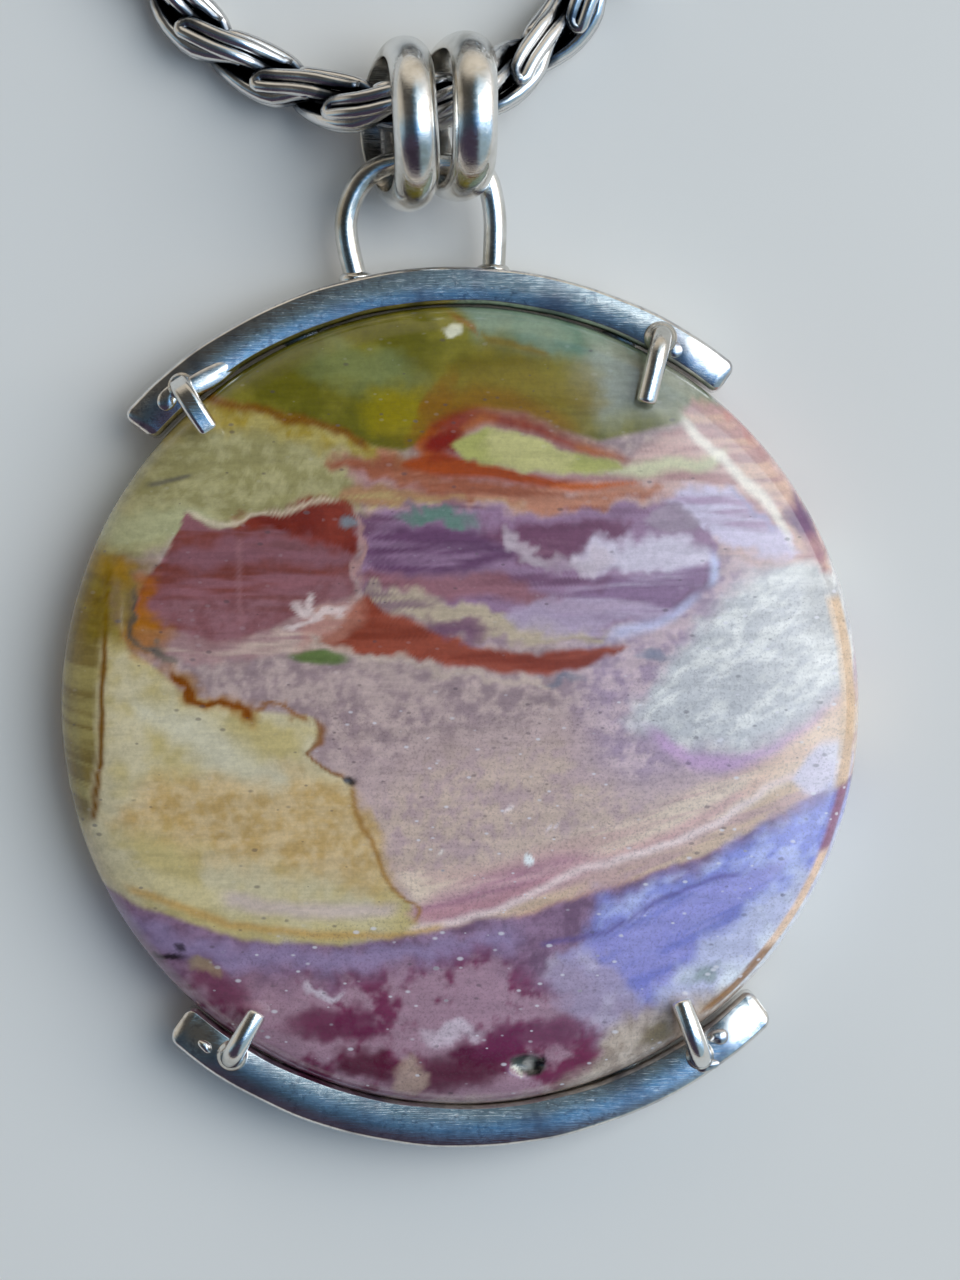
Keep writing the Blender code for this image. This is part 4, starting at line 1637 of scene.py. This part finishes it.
@dataclass
class WovenChain:
    """The chain: four columns of hairpin loops round a core, laid along the route and then coiled.

    Its route repeats the CAD model's, and its coil is worked out turn by turn.
    """

    radius: float = 1.65
    wire: float = 0.4
    pair_gap: float = 0.4
    leaf: float = 6.5
    pitch: float = 5.1
    columns: int = 4
    rise: tuple[Spot, ...] = (
        (0.0, 0.74), (0.12, 0.98), (0.3, 1.2), (0.48, 1.26), (0.62, 1.14), (0.76, 0.68), (0.88, 0.3),
        (1.0, 0.12),
    )
    slant: float = 0.2
    bow: float = 0.24
    core: float = 0.62
    relief_from: float = 0.5
    fine_length: float = 48.0
    coil_centre: Spot = (2.0, 71.5)
    lower: float = 1.7
    upper: float = 5.1
    inside: float = 15.25
    outside: float = 18.75
    into_cap: float = 1.2

    def route(self) -> list:
        """The route where it isn't coiled, from the clasp's cap to the coil.

        Returns:
            Points in millimetres.
        """
        return [
            (8.40, 41.9, 1.72), (6.92, 39.98, 1.72), (5.71, 38.38, 1.75), (4.62, 37.40, 2.0),
            (3.44, 36.35, 2.65), (2.25, 35.10, 3.55), (1.20, 34.40, 4.05), (0.20, 34.05, 4.2),
            (-0.95, 33.92, 4.25), (-2.63, 33.73, 4.15), (-4.40, 33.65, 4.0), (-5.70, 33.68, 3.85),
            (-6.95, 34.00, 3.3), (-8.15, 34.45, 2.5), (-9.45, 35.05, 1.95), (-10.90, 35.75, 1.75),
            (-12.40, 36.60, 1.72), (-13.75, 37.45, 1.72), (-14.95, 38.55, 1.72), (-16.20, 40.00, 1.72),
            (-17.60, 43.00, 1.72), (-18.65, 47.50, 1.72), (-19.10, 52.50, 1.72), (-18.95, 57.50, 1.72),
            (-18.55, 61.50, 1.72), (-18.0, 65.0, 1.72), (-17.4, 68.5, 1.7),
        ]

    def coil(self) -> list:
        """The coil: at each angle a radius and a height, which change smoothly between the steps.

        Returns:
            Points in millimetres, about sixteen a turn.
        """
        wide, narrow, low, high = self.outside, self.inside, self.lower, self.upper
        steps = (
            (0, wide, low), (322, wide, low), (362, narrow, low), (630, narrow, low), (682, narrow, high),
            (930, narrow, high), (985, wide, high), (1232, wide, high), (1262, 20.9, 4.35),
            (1290, 22.15, low),
        )
        turned, radii, heights = np.array(steps, float).T
        angle = np.arange(4.0, 1291.0, 22.0)
        radius = np.interp(angle, turned, radii)
        height = np.interp(angle, turned, heights)
        way = np.radians(177.0 - angle)
        x = self.coil_centre[0] + radius * np.cos(way)
        y = self.coil_centre[1] + radius * np.sin(way)
        return [tuple(row) for row in np.stack([x, y, height], axis=1).tolist()]

    def end_route(self) -> list:
        """The last stretch, from the coil to the hook's cap."""
        return [(21.0, 58.2, 1.72), (20.0, 55.6, 1.72), (18.2, 53.2, 1.72)]

    def path(self) -> Array:
        """The whole chain's middle line, which reaches a little way into both caps.

        Returns:
            Rows of x, y, z in millimetres.
        """
        route = self.route()
        end = self.end_route()
        first = np.array(route[0]) + unit(np.array(route[0]) - np.array(route[1])) * self.into_cap
        last = np.array(end[-1]) + unit(np.array(end[-1]) - np.array(end[-2])) * self.into_cap
        return smooth_route([tuple(first), *route, *self.coil(), *end, tuple(last)], 0.5)

    def leaves(
        self, path: Array, starts: Array, sides: int, leg: int, bend: int
    ) -> tuple[Array, list, Array]:
        """Hairpin loops of round wire.

        With t from 0 at the loop's bend to 1 at its tails, a leg lies as far from the axis as the
        smooth curve through the rise's points says, half the pair's gap to its side, and slants by the
        slant times the way along and bows by a parabola. The bend is a half circle between the legs.

        Args:
            path: The chain's middle line.
            starts: Rows of the leaf's middle along the path and its column's number.
            sides: How many sides the wire has.
            leg: Stations on a leg.
            bend: Stations on the bend.

        Returns:
            Points, faces and each point's relief.
        """
        along = lengths_along(path)
        side, upward = level_frames(path)
        t = np.linspace(1.0, 0.06, leg)
        half_turn = np.linspace(0, math.pi, bend + 2)[1:-1]
        where = np.concatenate([t, 0.06 - 0.055 * np.sin(half_turn), t[::-1]])
        apart = np.concatenate([np.full(leg, 1.0), np.cos(half_turn), np.full(leg, -1.0)]) * self.pair_gap
        knots = smooth_route([(t, far, 0.0) for t, far in self.rise], 0.02)
        far = np.interp(where, knots[:, 0], knots[:, 1])
        ahead = (0.5 - where) * self.leaf
        distance = np.clip(starts[:, :1] + ahead[None, :], 0.0, along[-1])
        angle = math.pi / 2 + starts[:, 1] * 2 * math.pi / self.columns
        centre = at_lengths(path, along, distance)
        level, high = (unit(at_lengths(way, along, distance)) for way in (side, upward))
        cos, sin = np.cos(angle)[:, None, None], np.sin(angle)[:, None, None]
        outward = cos * level + sin * high
        around = cos * high - sin * level
        bowed = self.slant * ahead - self.bow * (1 - (2 * ahead / self.leaf) ** 2)
        lateral = (apart + bowed)[None, :]
        line = centre + outward * far[None, :, None] + around * lateral[..., None]
        tangent = unit(np.gradient(line, axis=1))
        wire_side = unit(np.cross(tangent, outward))
        wire_up = unit(np.cross(wire_side, tangent))
        circle = ring_section(sides, self.wire)
        round_wire = circle[:, :1] * wire_side[:, :, None, :] + circle[:, 1:] * wire_up[:, :, None, :]
        points = line[:, :, None, :] + round_wire
        relief = np.linalg.norm(points - centre[:, :, None, :], axis=-1)
        relief = np.clip((relief - self.relief_from) / (self.radius - self.relief_from), 0, 1)
        count = len(where) * sides
        one = grid_faces(len(where), sides, False, True)
        faces = (one[None] + np.arange(len(starts))[:, None, None] * count).reshape(-1, 4).tolist()
        for base in range(0, len(starts) * count, count):
            faces += [list(range(at, at + sides)) for at in (base, base + count - sides)]
        return points.reshape(-1, 3), faces, relief.reshape(-1)

    def build(self, material: bpy.types.Material, fittings: list) -> None:
        """Args:
            material: The oxidised silver.
            fittings: The clasp's pieces, which are on its ends; not used.
        """
        path = self.path()
        along = lengths_along(path)
        middles = np.arange(2.0, along[-1] - 2.0, self.pitch / 2)
        starts = np.array([(at, k % 2 + more) for k, at in enumerate(middles) for more in (0, 2)])
        seen = starts[:, 0] < self.fine_length
        fine = self.leaves(path, starts[seen], 8, 11, 4)
        plain = self.leaves(path, starts[~seen], 6, 5, 2)
        points, faces, relief = joined(fine, plain, self.core_tube(path))
        piece = make_piece("woven_chain", points, faces, material, values={"relief": relief})
        finish_piece(piece, Body.NECKLACE, Slot.DARK, "chain", "chain_coil", "chain_end")
        LOG.info("woven_chain: %.1f mm long, %d loops", along[-1], len(starts))

    def core_tube(self, path: Array) -> tuple[Array, list, Array]:
        """The dark core inside the loops, a plain tube.

        Args:
            path: The chain's middle line.

        Returns:
            Points, faces and relief.
        """
        thin = path[::3]
        points, faces = carry(thin, *level_frames(thin), ring_section(8, self.core)[::-1])
        return points, faces, np.full(len(points), 0.05)


@dataclass
class Clasp:
    """The clasp at the chain's ends: a cap with a ring, and a cap with a hook that goes through it."""

    cap_radius: float = 2.0
    cap_outline: tuple[Spot, ...] = (
        (0.0, 0.0), (0.9, 0.0), (0.98, 0.06), (1.0, 0.2), (1.0, 0.38), (0.95, 0.5), (0.94, 0.62),
        (0.98, 0.74), (0.98, 0.92), (0.93, 1.02), (0.93, 2.2), (0.92, 2.5), (0.84, 2.82), (0.66, 3.06),
        (0.4, 3.17), (0.0, 3.2),
    )
    cap_gap: float = 0.3
    solder: float = 0.05
    wire: float = 0.6
    ring_radius: float = 1.9
    hook_radius: float = 1.3

    def build(self, chain: WovenChain, material: bpy.types.Material) -> list:
        """Makes both caps, the ring and the hook.

        Args:
            chain: The chain whose ends they are on.
            material: The bright silver.

        Returns:
            The four pieces.
        """
        start, second = np.array(chain.route()[:2])
        before, end = np.array(chain.end_route()[-2:])
        away, back = unit(start - second) * LEVEL, unit(end - before) * LEVEL
        near = self.cap("end_cap_ring", start, away, material, "chain_cap_ring")
        far = self.cap("end_cap_hook", end, back, material, "chain_cap_hook")
        centre = near[1] + away * (self.solder + self.wire + self.ring_radius)
        angle = np.linspace(0, 2 * math.pi, 64, endpoint=False)
        loop = centre + self.ring_radius * np.stack([np.cos(angle), np.sin(angle), 0 * angle], axis=1)
        bead = lump(tuple(near[1] + away * 0.3), (0.8, 0.8, 0.6), 1.0)
        points, faces = joined(wire_surface(loop, self.wire, 16, closed=True), bead)
        ring = make_piece("clasp_loop", points, faces, material)
        finish_piece(ring, Body.NECKLACE, Slot.SILVER, "clasp_ring")
        hook = self.hook(far[1], centre, material)
        return [near[0], far[0], ring, hook]

    def cap(
        self, name: str, face: Array, direction: Array, material: bpy.types.Material, node: str
    ) -> tuple[bpy.types.Object, Array]:
        """An end cap: a short tube with two beaded bands and a rounded end.

        Args:
            name: The piece's name.
            face: Where the chain goes in.
            direction: From the chain towards the cap's end.
            material: The bright silver.
            node: The CAD node that it replaces.

        Returns:
            The piece, and the middle of its end.
        """
        first = face + direction * self.cap_gap
        first[2] = self.cap_radius
        outline = np.array(self.cap_outline) * (self.cap_radius, 1.0)
        points, faces = turned_surface(outline, tuple(first), tuple(direction), 56)
        piece = make_piece(name, points, faces, material, 50)
        finish_piece(piece, Body.NECKLACE, Slot.SILVER, node)
        return piece, first + direction * outline[-1, 1]

    def hook(self, far: Array, centre: Array, material: bpy.types.Material) -> bpy.types.Object:
        """The hook: a wire that rises over the ring and turns down through it, with a ball on its tip.

        Args:
            far: The middle of the cap's end.
            centre: The middle of the ring.
            material: The bright silver.

        Returns:
            The piece.
        """
        reach = (centre - far) * LEVEL
        run = float(np.linalg.norm(reach))
        ahead = reach / run
        steps = (
            (self.solder, 0.0), (0.9, 0.03), (1.8, 0.6), (run - self.hook_radius - 0.9, 1.3),
            (run - 0.7, 1.35), (run + 0.15, 0.55), (run + 0.1, -0.45), (run - 0.55, -1.15),
        )
        route = [tuple(far + ahead * along + UP * rise) for along, rise in steps]
        points, faces = wire_surface(smooth_route(route, 0.12), self.wire, 16)
        piece = make_piece("clasp_hook_wire", points, faces, material)
        return finish_piece(piece, Body.NECKLACE, Slot.SILVER, "clasp_hook")


@dataclass
class BailRing:
    """One of the two half-round bands of the bail.

    At angle a from straight up, x is front_x + back_shift * ((1 - cos a) / 2)^1.8 - turn * sin a, and
    the band's flat side lies at the inner radius round its centre.
    """

    name: str
    node: str
    centre: Spot
    inner: float
    outer: float
    front_x: float
    back_shift: float
    turn: float
    width: float = 2.5
    power: float = 1.8
    lip: float = 0.12

    def build(self, material: bpy.types.Material) -> None:
        """Makes the ring.

        Args:
            material: The bright silver.
        """
        angle = np.linspace(0, 2 * math.pi, 160, endpoint=False)
        share = (1 - np.cos(angle)) / 2
        x = self.front_x + self.back_shift * share**self.power - self.turn * np.sin(angle)
        path = np.stack([x, np.full_like(x, self.centre[0]), np.full_like(x, self.centre[1])], axis=1)
        across = np.broadcast_to([1.0, 0.0, 0.0], path.shape)
        outward = np.stack([0 * angle, np.sin(angle), np.cos(angle)], axis=1)
        points, faces = carry(path + outward * self.inner, across, outward, self.section(), closed=True)
        piece = make_piece(self.name, points, faces, material, 60)
        finish_piece(piece, Body.BAIL, Slot.SILVER, self.node)

    def section(self) -> Array:
        """The half-round section: flat inside with a narrow rounded lip, and an elliptic dome outside.

        Returns:
            Rows of x across the band and y outward.
        """
        half, high = self.width / 2, self.outer - self.inner
        angle = np.linspace(0, math.pi, 25)
        dome = np.stack([half * np.cos(angle), self.lip + (high - self.lip) * np.sin(angle)], axis=1)
        lip = np.array([[-half, self.lip * 0.6], [-half + 0.05, 0.02], [-half + 0.12, 0.0]])
        return np.vstack([dome, lip, lip[::-1] * (-1.0, 1.0)])


@dataclass
class Bar:
    """A flat arc of thick silver strip, between an outer and an inner circle.

    Its section is a rectangle with filed edges. Its ends are rounded in plan and filed down a little, so
    their fronts tilt outwards.
    """

    name: str
    node: str
    outer: tuple[Spot, float]
    inner: tuple[Spot, float]
    ends: tuple[float, float]
    lumps: tuple = ()
    low: float = 1.05
    high: float = 4.0
    edge: float = 0.2
    end_round: float = 0.55
    end_fall: float = 0.42
    fall_length: float = 3.2
    wobble: float = 0.008
    stations: int = 400

    def build(self, material: bpy.types.Material) -> None:
        """Makes the bar.

        Args:
            material: The brushed silver.
        """
        mean = (self.outer[1] + self.inner[1]) / 2
        first, last = np.radians(self.ends[0]), np.radians(self.ends[1])
        even = np.radians(np.linspace(self.ends[0], self.ends[1], self.stations))
        close = self.end_round * (1 - np.cos(np.linspace(0, math.pi / 2, 8))) / mean
        angle = np.unique(np.concatenate([even[2:-2], first + close, last - close]))
        way = np.stack([np.cos(angle), np.sin(angle), 0 * angle], axis=1)
        out = np.array([*self.outer[0], 0.0]) + self.outer[1] * way
        inn = np.array([*self.inner[0], 0.0]) + self.inner[1] * way
        near = np.minimum(angle - first, last - angle) * mean
        round_in = np.sqrt(np.clip(1 - (1 - np.clip(near / self.end_round, 0, 1)) ** 2, 0, 1))
        inset = self.end_round * (1 - round_in)
        wobble = self.wobble * (2 * np.sin(angle * 23 + 1.3) + np.sin(angle * 41)) * (inset < 0.02)
        half = np.linalg.norm(out - inn, axis=1) / 2 - inset + wobble
        fall = self.end_fall * (1 - ease(near / self.fall_length)) ** 1.2
        section = self.section_points(half, fall, np.minimum(inset, 0.3))
        points = (out + inn)[:, None, :] / 2 + unit(out - inn)[:, None, :] * section[..., :1]
        points += UP * section[..., 1:]
        count = section.shape[1]
        faces = grid_faces(len(angle), count, False, True)[:, ::-1].tolist()
        faces += [list(range(at, at + count)) for at in (0, (len(angle) - 1) * count)]
        lumps = [lump(*values) for values in self.lumps]
        points, faces = joined((points.reshape(-1, 3), faces), *lumps)
        piece = make_piece(self.name, points, faces, material, 62)
        finish_piece(piece, Body.PENDANT, Slot.BRUSHED, self.node)

    def section_points(self, half: Array, fall: Array, inset: Array) -> Array:
        """The rectangle with filed edges at each station, whose top sinks by the fall.

        Args:
            half: Half the width.
            fall: How far the top is filed down.
            inset: How far the end's rounding takes the top and bottom in.

        Returns:
            For each station, rows of across and height.
        """
        top = self.high - fall - inset * 0.5 - self.edge
        bottom = self.low + inset * 0.5 + self.edge
        rows = []
        for side_x, side_y, push in corner_steps(5, self.edge, 1.5):
            height = (top if side_y > 0 else bottom) + push[1]
            rows.append(np.stack([side_x * (half - self.edge) + push[0], height], axis=1))
        return np.stack(rows, axis=1)


@dataclass
class Prong:
    """A round wire prong: it stands in a collar of solder on its bar and is bent in over the stone."""

    name: str
    node: str
    root: Spot
    tip: Spot
    flat_top: float = 1.0
    collar: float = 0.34
    radius: float = 0.58
    base: float = 4.05
    shoulder: float = 6.05
    tip_height: float = 6.03
    tip_radius: float = 20.6
    rim_fall: float = 0.18

    def build(self, material: bpy.types.Material) -> None:
        """Makes the prong.

        Args:
            material: The bright silver.
        """
        root, tip = np.array(self.root), np.array(self.tip)
        last = self.tip_height + self.rim_fall * (self.tip_radius - float(np.hypot(*tip)))
        base, top = self.base, self.shoulder
        steps = (
            (0.0, base - 0.04), (0.0, base + 0.8), (0.02, top - 0.8), (0.16, top - 0.08), (0.40, top + 0.2),
            (0.70, top + 0.19), (1.0, last),
        )
        route = [(*(root + (tip - root) * share), height) for share, height in steps]
        wire = wire_surface(smooth_route(route, 0.11), self.radius, 28, self.flat_top)
        wide, wire_radius = self.radius + self.collar, self.radius
        collar = (
            (0, 0), (wide, 0), (wide, 0.08), (wide * 0.95, 0.2), (wide * 0.82, 0.3),
            (wire_radius * 1.06, 0.42), (wire_radius * 0.98, 0.6), (0, 0.62),
        )
        foot = turned_surface(np.array(collar), (*self.root, base - 0.045), (0, 0, 1), 40)
        points, faces = joined(wire, foot)
        piece = make_piece(self.name, points, faces, material, 70)
        finish_piece(piece, Body.PENDANT, Slot.SILVER, self.node)


@dataclass
class HangingLoop:
    """The wire arch on the upper bar, which the bail goes through."""

    radius: float = 0.65
    foot: float = 2.6
    crown: float = 3.3

    def arch(self) -> list:
        """The arch in plan, from its left foot to its right one."""
        return [
            (-5.87, 24.07), (-6.25, 25.6), (-6.44, 26.9), (-6.30, 28.0), (-5.85, 29.05), (-5.20, 29.85),
            (-4.40, 30.35), (-3.30, 30.6), (-2.20, 30.65), (-1.14, 30.5), (-0.30, 30.42), (0.50, 30.42),
            (1.12, 30.22), (1.58, 29.5), (1.84, 28.5), (1.97, 27.4), (1.97, 26.2), (1.90, 24.64),
        ]

    def build(self, material: bpy.types.Material) -> None:
        """Makes the loop, with a collar of solder at each foot.

        Args:
            material: The bright silver.
        """
        arch = self.arch()
        low, high = arch[0][1], max(y for _, y in arch)
        route = [(x, y, self.foot + (self.crown - self.foot) * (y - low) / (high - low)) for x, y in arch]
        path = smooth_route(route, 0.18)
        wire = carry(path, *level_frames(path), ring_section(28, self.radius)[::-1])
        collars = [
            lump((arch[0][0] - 0.05, arch[0][1] + 0.02, self.foot), (0.92, 0.46, 0.95), 0.4),
            lump((arch[-1][0], arch[-1][1] - 0.02, self.foot), (0.86, 0.42, 0.9), 2.1),
        ]
        points, faces = joined(wire, *collars)
        piece = make_piece("hanging_loop_wire", points, faces, material)
        finish_piece(piece, Body.PENDANT, Slot.SILVER, "hanging_loop")


@dataclass
class BackRail:
    """A flat strip behind the stone, which joins the two bars."""

    name: str
    node: str
    x: float
    half_width: float = 1.0
    top: float = 1.0
    ends: Spot = (-22.8, 22.5)
    edge: float = 0.16

    def build(self, material: bpy.types.Material) -> None:
        """Makes the rail.

        Args:
            material: The brushed silver.
        """
        half = self.top / 2
        wide, high = self.half_width - self.edge, half - self.edge
        steps = corner_steps(4, self.edge)
        section = np.array([(side_x * wide, side_y * high) + push for side_x, side_y, push in steps])
        first, last = self.ends
        y = np.concatenate([[first], np.linspace(first + 0.15, last - 0.15, 60), [last]])
        wobble = 0.02 * np.sin(y * 1.7 + self.x)
        path = np.stack([self.x + wobble, y, np.full_like(y, half)], axis=1)
        across = np.broadcast_to([-1.0, 0.0, 0.0], path.shape)
        upward = np.broadcast_to(UP, path.shape)
        scale = np.ones((len(y), 2))
        scale[0] = scale[-1] = (0.9, 0.8)
        points, faces = carry(path, across, upward, section, scale)
        piece = make_piece(self.name, points, faces, material, 60)
        finish_piece(piece, Body.PENDANT, Slot.BRUSHED, self.node)


@dataclass
class Stone:
    """The polished disc: a low dome, a rounded rim that is wider on the left, and a flat back."""

    radius: float = 22.45
    back: float = 1.05
    rim: float = 1.45
    rim_more_left: float = 0.5
    rim_length: float = 2.9
    rings: int = 145
    face_rings: int = 133
    back_rings: int = 29
    pits: tuple = (
        (3.8, -20.0, 0.85, 0.5, 0.45), (-18.55, 4.9, 0.3, 1.2, 0.1), (-17.3, 2.75, 0.9, 0.35, 0.12),
        (-5.95, -4.15, 0.35, 0.2, 0.08),
    )

    def profile(self) -> tuple[Array, Array]:
        """The outline from the crown over the rim to the back's edge.

        Returns:
            Rows of radius, height and share in the rim's uneven width, for the face's rings and for the
            rows under them.
        """
        r = self.radius
        knots = [
            (r - 0.9, 1.05, 0), (r - 0.15, 1.55, 0), (r, 2.45, 0), (r, 3.45, 0), (r - 0.2, 4.2, 0.1),
            (r - 0.65, 4.85, 0.4), (r - self.rim, 5.3, 1.0), (r - 3.4, 5.65, 0.3), (r - 8.5, 6.08, 0),
            (r - 14.5, 6.36, 0), (r - 19.0, 6.47, 0), (0.0, 6.5, 0),
        ]
        side = smooth_route(knots[:4], 0.5)[::-1]
        line = np.vstack([smooth_route(knots[3:7], 0.05), smooth_route(knots[6:], 0.05)[1:]])[::-1]
        along = lengths_along(line)
        marks = (0, along[-1] - self.rim_length, along[-1])
        wanted = np.interp(np.arange(self.rings + 1), (0, self.face_rings, self.rings), marks)
        return at_lengths(line, along, wanted), side[1:]

    @staticmethod
    def square_disc(rings: int) -> tuple[Array, Array, Array]:
        """An even grid on a disc: the square rings of a grid become round ones.

        With |a| the larger of a point's two grid numbers, ring = a and angle = (pi / 4) * b / a, and
        the other way round where |b| is larger.

        Args:
            rings: How many rings lie round the middle point.

        Returns:
            Each point's ring, its angle, and the outer ring's point numbers, anticlockwise.
        """
        side = np.arange(-rings, rings + 1, dtype=float)
        b, a = (grid.ravel() for grid in np.meshgrid(side, side, indexing="ij"))
        wide = np.abs(a) >= np.abs(b)
        long, short = np.where(wide, a, b), np.where(wide, b, a)
        part = math.pi / 4 * short / np.where(long == 0, 1.0, long)
        angle = np.where(wide, part, math.pi / 2 - part) + np.where(long < 0, math.pi, 0.0)
        count = 2 * rings + 1
        numbers = np.arange(count * count).reshape(count, count)
        loop = [numbers[0, :-1], numbers[:-1, -1], numbers[-1, :0:-1], numbers[:0:-1, 0]]
        return np.abs(long), angle, np.concatenate(loop)

    def build(self, finish: Mookaite) -> None:
        """Makes the stone: a face and rim, a low side, and a back of fewer faces, in the pattern's colours.

        Args:
            finish: Its finish.
        """
        face, side = self.profile()
        ring, angle, loop = self.square_disc(self.rings)
        back_ring, back_angle, back_loop = self.square_disc(self.back_rings)
        low = np.tile(side[:, None, :], (1, len(loop), 1)).reshape(-1, 3)
        back_radius = back_ring / self.back_rings * (side[-1, 0] - 0.5)
        back = np.column_stack([back_radius, np.full(len(back_ring), self.back), 0 * back_ring])
        rows = np.vstack([face[ring.astype(int)], low, back])
        angle = np.concatenate([angle, np.tile(angle[loop], len(side)), back_angle])
        radius = rows[:, 0] + rows[:, 2] * np.cos(angle) * self.rim_more_left
        x, y = radius * np.cos(angle), radius * np.sin(angle)
        height = rows[:, 1] - self.hollows(x, y) * (rows[:, 1] > 4.0)
        points = np.column_stack([x, y, height])
        count, under = 2 * self.rings + 1, 2 * self.back_rings + 1
        first, last = count**2, count**2 + len(low)
        upper = np.vstack([loop, first + np.arange(len(low)).reshape(len(side), -1)])
        faces = grid_faces(count, count, False, False).tolist()
        faces += upper.ravel()[grid_faces(len(upper), len(loop), False, True)[:, ::-1]].tolist()
        faces += grid_faces(under, under, False, False, last)[:, ::-1].tolist()
        share = len(loop) // len(back_loop)
        outer, inner = upper[-1], back_loop + last
        for k in range(len(inner)):
            edge = np.take(outer, range(share * k, share * k + share + 1), mode="wrap")
            faces.append([*edge[::-1].tolist(), int(inner[k]), int(inner[(k + 1) % len(inner)])])
        colour, sandy = finish.colours(points)
        values = {"pattern": colour, "sandy": sandy}
        piece = make_piece("polished_stone", points, faces, finish.make(), values=values)
        finish_piece(piece, Body.PENDANT, Slot.STONE, "stone")

    def hollows(self, x: Array, y: Array) -> Array:
        """How deep the open pit and the crack's pits are at each place: depth times e^-(distance^4).

        Args:
            x: Across, in millimetres from the stone's centre.
            y: Up, likewise.

        Returns:
            Depths in millimetres.
        """
        deep = 0 * x
        for middle_x, middle_y, half_x, half_y, depth in self.pits:
            far = ((x - middle_x) / half_x) ** 2 + ((y - middle_y) / half_y) ** 2
            deep = deep + depth * np.exp(-(far**2) * 0.7)
        return deep


def main() -> None:
    """Builds the pieces in order and reports each."""
    logging.basicConfig(level=logging.INFO, format="%(message)s")
    wear = Wear()
    bright = SilverFinish("bright_silver").make(wear)
    brushed = SilverFinish(
        "brushed_silver", dull=(150, 150, 158), roughness=0.1, rougher=0.08, flecks=0.5, scratch_share=0.6,
        scratch_depth=0.0000014, hollow_depth=0.000005,
    ).make(wear)
    Studio().build()
    chain = WovenChain()
    fittings = Clasp().build(chain, bright)
    chain.build(OxidisedFinish().make(), fittings)
    for ring in (
        BailRing("bail_band_left", "bail_ring_left", (32.5, 4.9), 3.7, 4.9, -2.43, -2.02, 0.23),
        BailRing("bail_band_right", "bail_ring_right", (32.95, 4.75), 3.73, 4.75, 0.87, -2.72, 0.0),
    ):
        ring.build(bright)
    upper = Bar(
        "upper_strip", "upper_bar", ((-0.23, -0.62), 25.27), ((0.0, -0.54), 23.14), (51.3, 138.0),
        (
            ((-14.0, 18.45, 3.97), (1.95, 0.62, 0.26), 0.3, 26.0, 0.2),
            ((-16.35, 17.3, 3.95), (0.75, 0.55, 0.24), 0.7, 50.0),
            ((11.9, 20.1, 3.96), (0.7, 0.5, 0.16), 2.7, -30.0),
        ),
    )
    lower = Bar(
        "lower_strip", "lower_bar", ((0.05, 0.51), 25.35), ((0.09, 0.90), 23.40), (-130.6, -46.1),
        (
            ((-14.3, -19.15, 3.97), (0.42, 0.3, 0.2), 1.9, -40.0),
            ((14.5, -18.6, 3.93), (0.6, 0.5, 0.26), 3.0, 20.0),
            ((13.9, -20.2, 3.95), (0.6, 0.4, 0.2), 1.0, 10.0),
        ),
    )
    for bar in (upper, lower):
        bar.build(brushed)
    for prong in (
        Prong("upper_left_prong", "prong_upper_left", (-15.62, 17.91), (-13.90, 15.30), 0.72, 0.2),
        Prong("upper_right_prong", "prong_upper_right", (11.27, 20.62), (10.34, 16.81), 1.0, 0.36),
        Prong("lower_left_prong", "prong_lower_left", (-12.78, -19.65), (-11.21, -17.00), 1.0, 0.3),
        Prong("lower_right_prong", "prong_lower_right", (13.47, -19.65), (12.28, -16.35), 1.0, 0.22),
    ):
        prong.build(bright)
    HangingLoop().build(bright)
    BackRail("left_rail", "back_rail_left", -9.0).build(brushed)
    BackRail("right_rail", "back_rail_right", 9.0).build(brushed)
    Stone().build(Mookaite())


if __name__ == "__main__":
    main()
